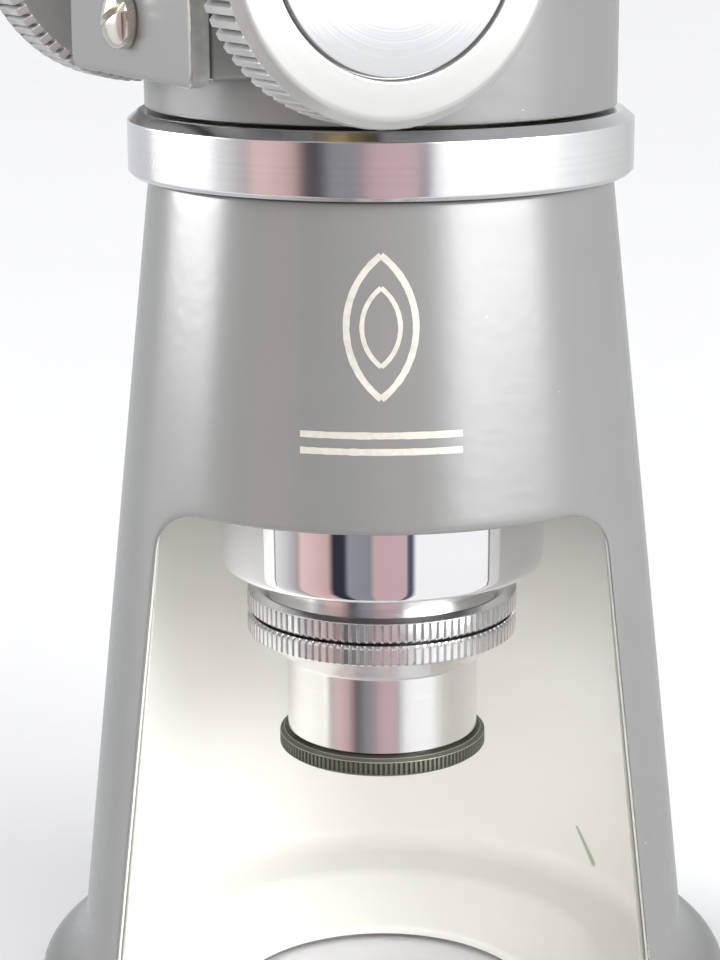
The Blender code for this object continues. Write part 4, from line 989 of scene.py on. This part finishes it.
FRONT_SHAFT = head_place(SHAFT_X, 0, SHAFT_Z, ALONG_Y)
REAR_SHAFT = FRONT_SHAFT @ Matrix.Rotation(math.pi, 4, "X")
floor_z = knob_face - KNOB_SINK
for side, place in (("front", FRONT_SHAFT), ("rear", REAR_SHAFT)):
    knob = turned(f"ribbed_knob_{side}", [
        (knob_r - KNOB_CHAMFER, knob_face, 0.22), (knob_r - 0.12, knob_face - 0.85, 0.06),
        (knob_r, knob_face - 1.1, 0.0, KNOB_RIB_DEPTH),
        (knob_r, knob_back + KNOB_CHAMFER, 0.0, KNOB_RIB_DEPTH),
        (knob_r - KNOB_CHAMFER, knob_back, 0.0, 0.0), (knob_r - KNOB_CHAMFER - 0.6, knob_back, 0.0),
        (KNOB_BORE, knob_back, 0.15), (KNOB_BORE, floor_z - NUT_ROOM), (NUT_ROOM_R, floor_z - NUT_ROOM),
        (NUT_ROOM_R, floor_z), (KNOB_FACE_R, floor_z, 0.12), (KNOB_FACE_R, knob_face, 0.18)],
        [KNOB_GREY], place, ribs=(KNOB_RIBS, KNOB_RIB_SHAPE))
    settle(knob, "focus_knobs", "knob_grey", f"focus_knob_{side}")
    inlay_low = floor_z + INLAY_GAP
    inlay_r = KNOB_FACE_R - INLAY_GAP
    inlay = turned(f"inlay_disc_{side}", [
        (0.0, inlay_low + INLAY_THICK), (inlay_r * 0.5, inlay_low + INLAY_THICK),
        (inlay_r, inlay_low + INLAY_THICK, 0.12),
        (inlay_r, inlay_low, 0.08), (0.0, inlay_low)], [INLAY_BRIGHT], place)
    settle(inlay, "focus_knobs", "bright_aluminium", f"knob_inlay_{side}")

# ---- Draw tube and its top ring ----
# A drawn brass tube, chromed and polished by hand, with a groove milled in its side for the rack. A turned
# aluminium ring at its top is gripped to pull the eyepiece.
TUBE_WALL = 1.9
RACK_SEAT = 0.9
RACK_HALF_WIDE = 2.3
tube_low, tube_high = node_box("draw_tube")
tube_r = tube_high[0]
rack_low, rack_high = node_box("focus_rack")
CHROME = metal("chrome", (0.92, 0.92, 0.94), (0.86, 0.86, 0.88), 0.045, 0.5, 0.0012, scratches=0.25,
               specks=0.06,
               dirt_and_shade=0.5, cloud=8.0)
tube = turned("drawn_tube", [
    (tube_r, tube_high[2], 0.2), (tube_r, tube_low[2], 0.2), (tube_r - TUBE_WALL, tube_low[2], 0.1),
    (tube_r - TUBE_WALL, tube_high[2], 0.2)], [CHROME], steps=160)
carve(tube, bar("rack_seat", (-tube_r - 3, -RACK_HALF_WIDE, rack_low[2] - FIT),
                (-tube_r + RACK_SEAT, RACK_HALF_WIDE, rack_high[2] + FIT), HEAD))
settle(tube, "tube", "chrome", "draw_tube")

TOP_RING_GROOVES = (0.36, 0.64)
top_low, top_high = node_box("tube_top_ring")
top_r = top_high[0]
top_tall = top_high[2] - top_low[2]
top_corners = [(tube_r + FIT, top_high[2], 0.1), (top_r, top_high[2], 0.45)]
for share in TOP_RING_GROOVES:
    middle = top_high[2] - share * top_tall
    top_corners += [(top_r, middle + 0.22, 0.05), (top_r - 0.3, middle + 0.1, 0.05),
                    (top_r - 0.3, middle - 0.1, 0.05), (top_r, middle - 0.22, 0.05)]
top_corners += [(top_r, top_low[2], 0.4), (tube_r + FIT, top_low[2], 0.1)]
settle(turned("top_ring", top_corners, [TURNED_ALUMINIUM], steps=192), "tube", "bright_aluminium",
       "tube_top_ring")

# ---- Objective collar ----
# The heavy chromed collar on the tube's lower end that the objective screws into: turned from brass, polished
# to a mirror before plating, with softly rounded edges.
COLLAR_EDGE = 1.0
COLLAR_CAVITY = 12.3
COLLAR_LID = 5.0
collar_low, collar_high = node_box("objective_collar")
collar_r = collar_high[0]
collar = turned("mirror_collar", [
    (tube_r + FIT, collar_high[2], 0.1), (collar_r, collar_high[2], COLLAR_EDGE),
    (collar_r, collar_low[2], COLLAR_EDGE),
    (COLLAR_CAVITY, collar_low[2], 0.25), (COLLAR_CAVITY, collar_high[2] - COLLAR_LID),
    (tube_r + FIT, collar_high[2] - COLLAR_LID)], [CHROME])
settle(collar, "tube", "chrome", "objective_collar")

# ---- Adapter ring and objective barrel ----
# Two narrow rings with fine straight knurls and a groove between them. The upper one is the adapter. The
# lower one is the head of the lens barrel, whose satin body narrows below a pale bevel.
FINE_RIBS = 109
FINE_RIB_SHAPE = ((0.0, 0.0), (0.56, 0.0), (0.66, 1.0), (0.90, 1.0))
FINE_RIB_DEPTH = 0.34
ADAPTER_STEM_R = 11.7
BARREL_STEM_R = 8.7
BARREL_BORE = 7.6
BARREL_R = 9.9
SPOUT_R = 8.92
BEVEL_DROP = 2.6
TURN_FIT = 0.15
# Its knurl grooves are filled dark: grime with painted shade.
POLISHED_RIBS = metal("polished_ribs", (0.86, 0.86, 0.87), (0.76, 0.76, 0.77), 0.20, 0.12, 0.003, dirt_and_shade=1.0,
                      soil_and_shade=(0.17, 0.165, 0.15), rub=0.3)
SATIN_BARREL = metal("satin_barrel", (0.86, 0.85, 0.85), (0.80, 0.79, 0.79), 0.21, 0.07, 0.003, dirt_and_shade=0.6,
                     scratches=0.1, cloud=9.0)

adapter_low, adapter_high = node_box("adapter_ring")
knurl_r = adapter_high[0]
adapter_shoulder = collar_low[2] - 2.4
adapter = turned("adapter_knurl", [
    (ADAPTER_STEM_R, adapter_high[2], 0.3), (ADAPTER_STEM_R, adapter_shoulder),
    (knurl_r - 0.85, adapter_shoulder, 0.1),
    (knurl_r - 0.06, adapter_shoulder - 0.4, 0.05), (knurl_r, adapter_shoulder - 0.52, 0.0, FINE_RIB_DEPTH),
    (knurl_r, adapter_low[2] + 0.3, 0.0, FINE_RIB_DEPTH), (knurl_r - 0.35, adapter_low[2], 0.0),
    (BARREL_STEM_R + TURN_FIT, adapter_low[2], 0.1), (BARREL_STEM_R + TURN_FIT, adapter_high[2], 0.1)],
    [POLISHED_RIBS], ribs=(FINE_RIBS, FINE_RIB_SHAPE))
settle(adapter, "adapter", "chrome", "adapter_ring")

barrel_low, barrel_high = node_box("objective_barrel")
front_low_box, front_high_box = node_box("front_ring")
ring_seat = front_high_box[2]
barrel_top = adapter_low[2] - FIT
knurl_foot = barrel_top - 2.2
bevel_foot = knurl_foot - BEVEL_DROP
barrel = turned("lens_barrel", [
    (BARREL_STEM_R, barrel_high[2], 0.3), (BARREL_STEM_R, barrel_top), (knurl_r - 0.35, barrel_top, 0.0),
    (knurl_r, barrel_top - 0.3, 0.0, FINE_RIB_DEPTH), (knurl_r, knurl_foot + 0.35, 0.0, FINE_RIB_DEPTH),
    (knurl_r - 0.1, knurl_foot + 0.2, 0.05), (knurl_r - 1.2, knurl_foot - 0.55, 0.5),
    (BARREL_R + 0.65, bevel_foot + 0.5, 0.3), (BARREL_R, bevel_foot, 0.15), (BARREL_R, ring_seat + FIT, 0.1),
    (SPOUT_R, ring_seat + FIT), (SPOUT_R, barrel_low[2], 0.1), (BARREL_BORE, barrel_low[2], 0.1),
    (BARREL_BORE, barrel_high[2], 0.1)], [SATIN_BARREL], ribs=(FINE_RIBS, FINE_RIB_SHAPE))
settle(barrel, "objective", "bright_aluminium", "objective_barrel")

# ---- Front ring ----
# The dark blackened-brass ring round the front lens, with a very fine knurl whose tops are worn pale.
FRONT_RIBS = 130
FRONT_RIB_SHAPE = ((0.0, 0.0), (0.42, 0.0), (0.55, 1.0), (0.86, 1.0))
FRONT_RIB_DEPTH = 0.22
FRONT_LIP = 0.5
APERTURE_R = 6.4
# Its knurl grooves are nearly black: grime with painted shade.
DARK_BRONZE = metal("dark_bronze", (0.165, 0.162, 0.125), (0.10, 0.10, 0.078), 0.42, 0.2, 0.004,
                    scratches=0.5,
                    dirt_and_shade=0.9, soil_and_shade=(0.025, 0.025, 0.02), rub=0.95, bare=(0.42, 0.41, 0.34), metallic=0.6)
front_r = front_high_box[0]
front_foot = front_low_box[2]
front_ring = turned("blackened_ring", [
    (front_r - 0.45, ring_seat, 0.08), (front_r - 0.03, ring_seat - 0.3, 0.05),
    (front_r, ring_seat - 0.42, 0.0, FRONT_RIB_DEPTH), (front_r, front_foot + 0.34, 0.0, FRONT_RIB_DEPTH),
    (front_r - 0.05, front_foot + 0.26, 0.0), (front_r - 0.4, front_foot, 0.08),
    (APERTURE_R, front_foot, 0.1),
    (APERTURE_R, front_foot + FRONT_LIP, 0.08), (SPOUT_R + FIT, front_foot + FRONT_LIP),
    (SPOUT_R + FIT, ring_seat, 0.08)],
    [DARK_BRONZE], ribs=(FRONT_RIBS, FRONT_RIB_SHAPE))
settle(front_ring, "front", "dark_bronze", "front_ring")

# ---- Lenses ----
# Four ground and polished lenses, faintly coated, with a little dust on them.
LENS_STEPS = 128


def lens_glass():
    made, tree, shader, place = new_finish("coated_glass")
    marks = placed(tree, MARKS, Place=place, Cloud_Size=3.0, Speck_Share=0.35, Scratch_Share=0.1)
    colour = layered(tree, (0.97, 0.985, 0.99), (marks["Clouds"], (0.93, 0.96, 0.985)))
    wire(tree, shader, Base_Color=colour, Roughness=scaled(tree, marks["Specks"], 0.35, 0.012),
         Normal=bumped(tree, marks["Scratches"], 0.002), IOR=1.52, Transmission_Weight=1.0, Metallic=0.0)
    return made


COATED_GLASS = lens_glass()


def lens(name, node, body, top_sag, under_sag, shade=0.12):
    """A round lens in its node's box; a sag is how far a face bulges, or is hollowed where negative."""
    low, high = node_box(node)
    r = high[0]
    top, foot = high[2] - max(top_sag, 0.0), low[2] + max(under_sag, 0.0)
    over = [(r * k / 12, top + top_sag * (1 - (k / 12) ** 2)) for k in range(12)]
    under = [(r * k / 12, foot - under_sag * (1 - (k / 12) ** 2)) for k in range(12)]
    corners = over + [(r, top, shade), (r, foot, shade)] + under[::-1]
    settle(turned(name, corners, [COATED_GLASS], steps=LENS_STEPS), body, "glass", node)


lens("front_lens_glass", "objective_front_lens", "objective", 0.9, 0.0)
lens("rear_lens_glass", "objective_rear_lens", "objective", 0.8, -0.3)
lens("eye_lens_glass", "eye_lens", "eyepiece", 0.0, 1.0)
lens("field_lens_glass", "field_lens", "eyepiece", 1.1, 0.0)

# ---- Eyepiece ----
# A chromed body that pushes into the draw tube, with a band of the same fine knurl, and a moulded black
# eyecup on top whose bowl is worn shiny at its rim.
EYE_STEP = 2.2
CUP_SEAT_DROP = 4.0
EYE_STEM_R = 8.45
EYE_BORE = 7.45
CUP_HOLE = 5.2
eye_low, eye_high = node_box("eyepiece_body")
eye_r = eye_high[0]
eye_foot = tube_high[2] + FIT
cup_seat = eye_high[2] - CUP_SEAT_DROP
eye_body = turned("eyepiece_barrel", [
    (eye_r - EYE_STEP, eye_high[2], 0.15), (eye_r - EYE_STEP, cup_seat), (eye_r - 0.3, cup_seat, 0.1),
    (eye_r, cup_seat - 0.5, 0.0, FINE_RIB_DEPTH), (eye_r, eye_foot + 1.3, 0.0, FINE_RIB_DEPTH),
    (eye_r - 0.05, eye_foot + 1.15, 0.05), (eye_r - 0.5, eye_foot, 0.15), (EYE_STEM_R, eye_foot),
    (EYE_STEM_R, eye_low[2], 0.25), (EYE_BORE, eye_low[2], 0.1), (EYE_BORE, eye_high[2], 0.15)],
    [POLISHED_RIBS], ribs=(FINE_RIBS, FINE_RIB_SHAPE))
settle(eye_body, "eyepiece", "chrome", "eyepiece_body")


def moulded_black():
    """Moulded black phenolic: faint flow marks, fine grain and a polish on the edges that are handled."""
    made, tree, shader, place = new_finish("moulded_black")
    marks = placed(tree, MARKS, Place=place, Cloud_Size=7.0, Speck_Share=0.25, Scratch_Share=0.5)
    worn = placed(tree, RUB, Place=place, Amount=0.9)["Rubbed"]
    grain = cloudy(tree, stretched(tree, place, 1 / MM), 6.0, 4.0)
    colour = layered(tree, (0.018, 0.017, 0.016), (marks["Clouds"], (0.034, 0.031, 0.028)),
                     (marks["Specks"], (0.20, 0.19, 0.17)))
    rough = scaled(tree, marks["Scratches"], 0.2, scaled(tree, worn, -0.22, 0.44))
    height = scaled(tree, marks["Scratches"], -0.4, grain)
    wire(tree, shader, Base_Color=colour, Roughness=rough, Normal=bumped(tree, height, 0.012))
    return made


MOULDED_BLACK = moulded_black()
cup_low, cup_high = node_box("eyecup")
cup_r = cup_high[0]
cup_floor = eye_high[2] + FIT
cup_bore = eye_r - EYE_STEP + FIT
cup = turned("moulded_eyecup", [
    (cup_r - 3.0, cup_high[2], 0.9), (cup_r - 0.9, cup_high[2] - 0.25, 0.8), (cup_r, cup_high[2] - 2.4, 0.8),
    (cup_r - 0.25, cup_low[2] + 2.6, 0.3), (cup_r - 0.25, cup_low[2] + 2.2, 0.2),
    (cup_r, cup_low[2] + 1.8, 0.2),
    (cup_r, cup_low[2], 0.7), (cup_bore, cup_low[2], 0.2), (cup_bore, cup_floor, 0.1),
    (CUP_HOLE, cup_floor, 0.1),
    (CUP_HOLE, cup_floor + 1.0, 0.2), (cup_r - 7.0, cup_floor + 1.9, 1.2),
    (cup_r - 4.2, cup_high[2] - 1.6, 0.6)],
    [MOULDED_BLACK])
settle(cup, "cup", "black", "eyecup")

# ---- Pieces inside ----
# Brass bearing block, bushes, pinion and rack; a brass spigot dark with old grease; steel shaft, nuts, ring
# and screws; blackened spacers and stops in the lens tubes. They keep their own shapes and get finishes here.
BRASS = metal("brass", (0.80, 0.62, 0.32), (0.60, 0.44, 0.21), 0.28, 0.2, 0.006, scratches=0.6, specks=0.3)
GREASED_BRASS = metal("greased_brass", (0.16, 0.14, 0.10), (0.09, 0.08, 0.06), 0.45, 0.2, 0.006, metallic=0.6)
STEEL = metal("steel", (0.62, 0.62, 0.63), (0.46, 0.46, 0.47), 0.30, 0.2, 0.006, scratches=0.6, specks=0.3)
BLACKENED = metal("blackened", (0.045, 0.045, 0.045), (0.025, 0.025, 0.025), 0.5, 0.25, 0.008, metallic=0.3)
KEPT = {
    BRASS: ("pinion_bearing_block", "shaft_bush_front", "shaft_bush_rear", "focus_pinion", "focus_rack"),
    STEEL: ("swivel_retaining_ring", "focus_shaft", "knob_nut_front", "knob_nut_rear", "rack_screw_lower",
            "rack_screw_upper"),
    GREASED_BRASS: ("swivel_spigot",),
    BLACKENED: ("lens_spacer", "objective_retaining_ring", "eye_lens_seat_ring", "field_stop",
                "field_lens_ring"),
}
for finish, nodes in KEPT.items():
    for node in nodes:
        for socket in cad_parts[node].material_slots:
            socket.material = finish

# ---- Studio ----
# A plain pale table, a soft surround of pale and darker panels, one broad panel in front on the right, and
# the camera in front of the window, a little above the stand's top.
CAMERA_PLACE = (0.0, -0.23894, 0.11954)
CAMERA_DOWN = math.radians(14.272)
CAMERA_ROLL = math.radians(-0.291)
CAMERA_TURN = math.radians(-0.532)
LENS = 90.0
SENSOR = 36.0
TABLE_SIZE = 6.0
TABLE_DROP = 0.05  # clear of the base, so that the two faces do not meet
BACKDROP = (0.945, 0.945, 0.945)
OVERHEAD = (0.42, 0.43, 0.44)

# (direction round the object in degrees, 0 towards the camera and rising to its right; colour)
SURROUND = [
    (-180, (0.80, 0.82, 0.84)), (-124, (0.55, 0.57, 0.60)), (-114, (12.0, 12.0, 12.3)),
    (-86, (12.0, 12.0, 12.3)), (-80, (0.8, 0.8, 0.8)), (-70, (0.62, 0.62, 0.64)), (-61, (0.42, 0.36, 0.36)),
    (-58, (0.82, 0.60, 0.57)), (-38, (0.62, 0.43, 0.41)), (-34, (0.03, 0.035, 0.05)),
    (-26, (0.03, 0.035, 0.05)), (-23, (0.30, 0.31, 0.33)), (-8, (0.26, 0.26, 0.30)),
    (-5, (0.62, 0.42, 0.43)), (17, (0.60, 0.44, 0.46)), (18.5, (0.06, 0.07, 0.12)), (21, (0.08, 0.09, 0.14)),
    (23.5, (0.8, 0.82, 0.85)), (28, (2.5, 2.5, 2.55)), (38, (10.5, 10.5, 10.7)), (74, (9.0, 9.0, 9.2)),
    (86, (1.0, 1.02, 1.05)),
    (122, (0.75, 0.77, 0.76)), (150, (0.60, 0.62, 0.62)), (180, (0.80, 0.82, 0.84))]


def surround():
    world = bpy.data.worlds.new("surround")
    bpy.context.scene.world = world
    world.use_nodes = True
    tree = world.node_tree
    tree.nodes.clear()
    xyz = add(tree, "SeparateXYZ", {0: add(tree, "TexCoord")["Generated"]})
    turn = maths(tree, "ARCTAN2", xyz[0], maths(tree, "MULTIPLY", xyz[1], -1.0))
    band = ramp(tree, scaled(tree, turn, 0.5 / math.pi, 0.5), [((d + 180) / 360, c) for d, c in SURROUND])
    low = vectors(tree, "MINIMUM", band, (1.0, 1.0, 1.0))
    over_table = ramp(tree, maths(tree, "ADD", xyz[2], 0.5), [(0.44, 0.0), (0.51, 1.0)])
    above = ramp(tree, xyz[2], [(0.36, 0.0), (0.60, 1.0)])
    seen = add(tree, "LightPath")["Is Camera Ray"]
    colour = layered(tree, low, (over_table, band), (above, OVERHEAD), (seen, BACKDROP))
    light = add(tree, "Background", {"Color": colour, "Strength": 1.0})
    add(tree, "OutputWorld", {"Surface": light[0]})


def soft_panel(name, place, target, size, power):
    lamp = bpy.data.lights.new(name, "AREA")
    lamp.shape = "RECTANGLE"
    lamp.size, lamp.size_y = size
    lamp.energy = power
    panel = bpy.data.objects.new(name, lamp)
    panel.location = place
    panel.rotation_euler = (Vector(target) - Vector(place)).to_track_quat("-Z", "Y").to_euler()
    panel.visible_glossy = False
    bpy.context.scene.collection.objects.link(panel)


def pale_table():
    made, tree, shader, place = new_finish("pale_table")
    colour = layered(tree, (0.86, 0.86, 0.86), (cloudy(tree, place, 9.0, 3.0), (0.89, 0.89, 0.89)))
    wire(tree, shader, Base_Color=colour, Roughness=0.8)
    half = TABLE_SIZE / 2 / MM
    corners = [(x * half, y * half, -TABLE_DROP) for x, y in ((-1, -1), (1, -1), (1, 1), (-1, 1))]
    table = new_piece("table", corners, [(0, 1, 2, 3)], [made])
    table.visible_glossy = False


def camera():
    lens = bpy.data.cameras.new("camera")
    lens.lens = LENS
    lens.sensor_width = SENSOR
    lens.clip_start = 0.01
    holder = bpy.data.objects.new("camera", lens)
    bpy.context.scene.collection.objects.link(holder)
    turn = Matrix.Rotation(-CAMERA_TURN, 4, "Z") @ Matrix.Rotation(math.pi / 2 - CAMERA_DOWN, 4, "X")
    holder.matrix_world = Matrix.Translation(CAMERA_PLACE) @ turn @ Matrix.Rotation(CAMERA_ROLL, 4, "Z")
    bpy.context.scene.camera = holder


surround()
soft_panel("front_panel", (0.08, -0.72, 0.34), (0, 0, 0.05), (1.4, 0.55), 6.4)
pale_table()
camera()
view = bpy.context.scene.view_settings
view.view_transform = "Standard"
view.look = "None"
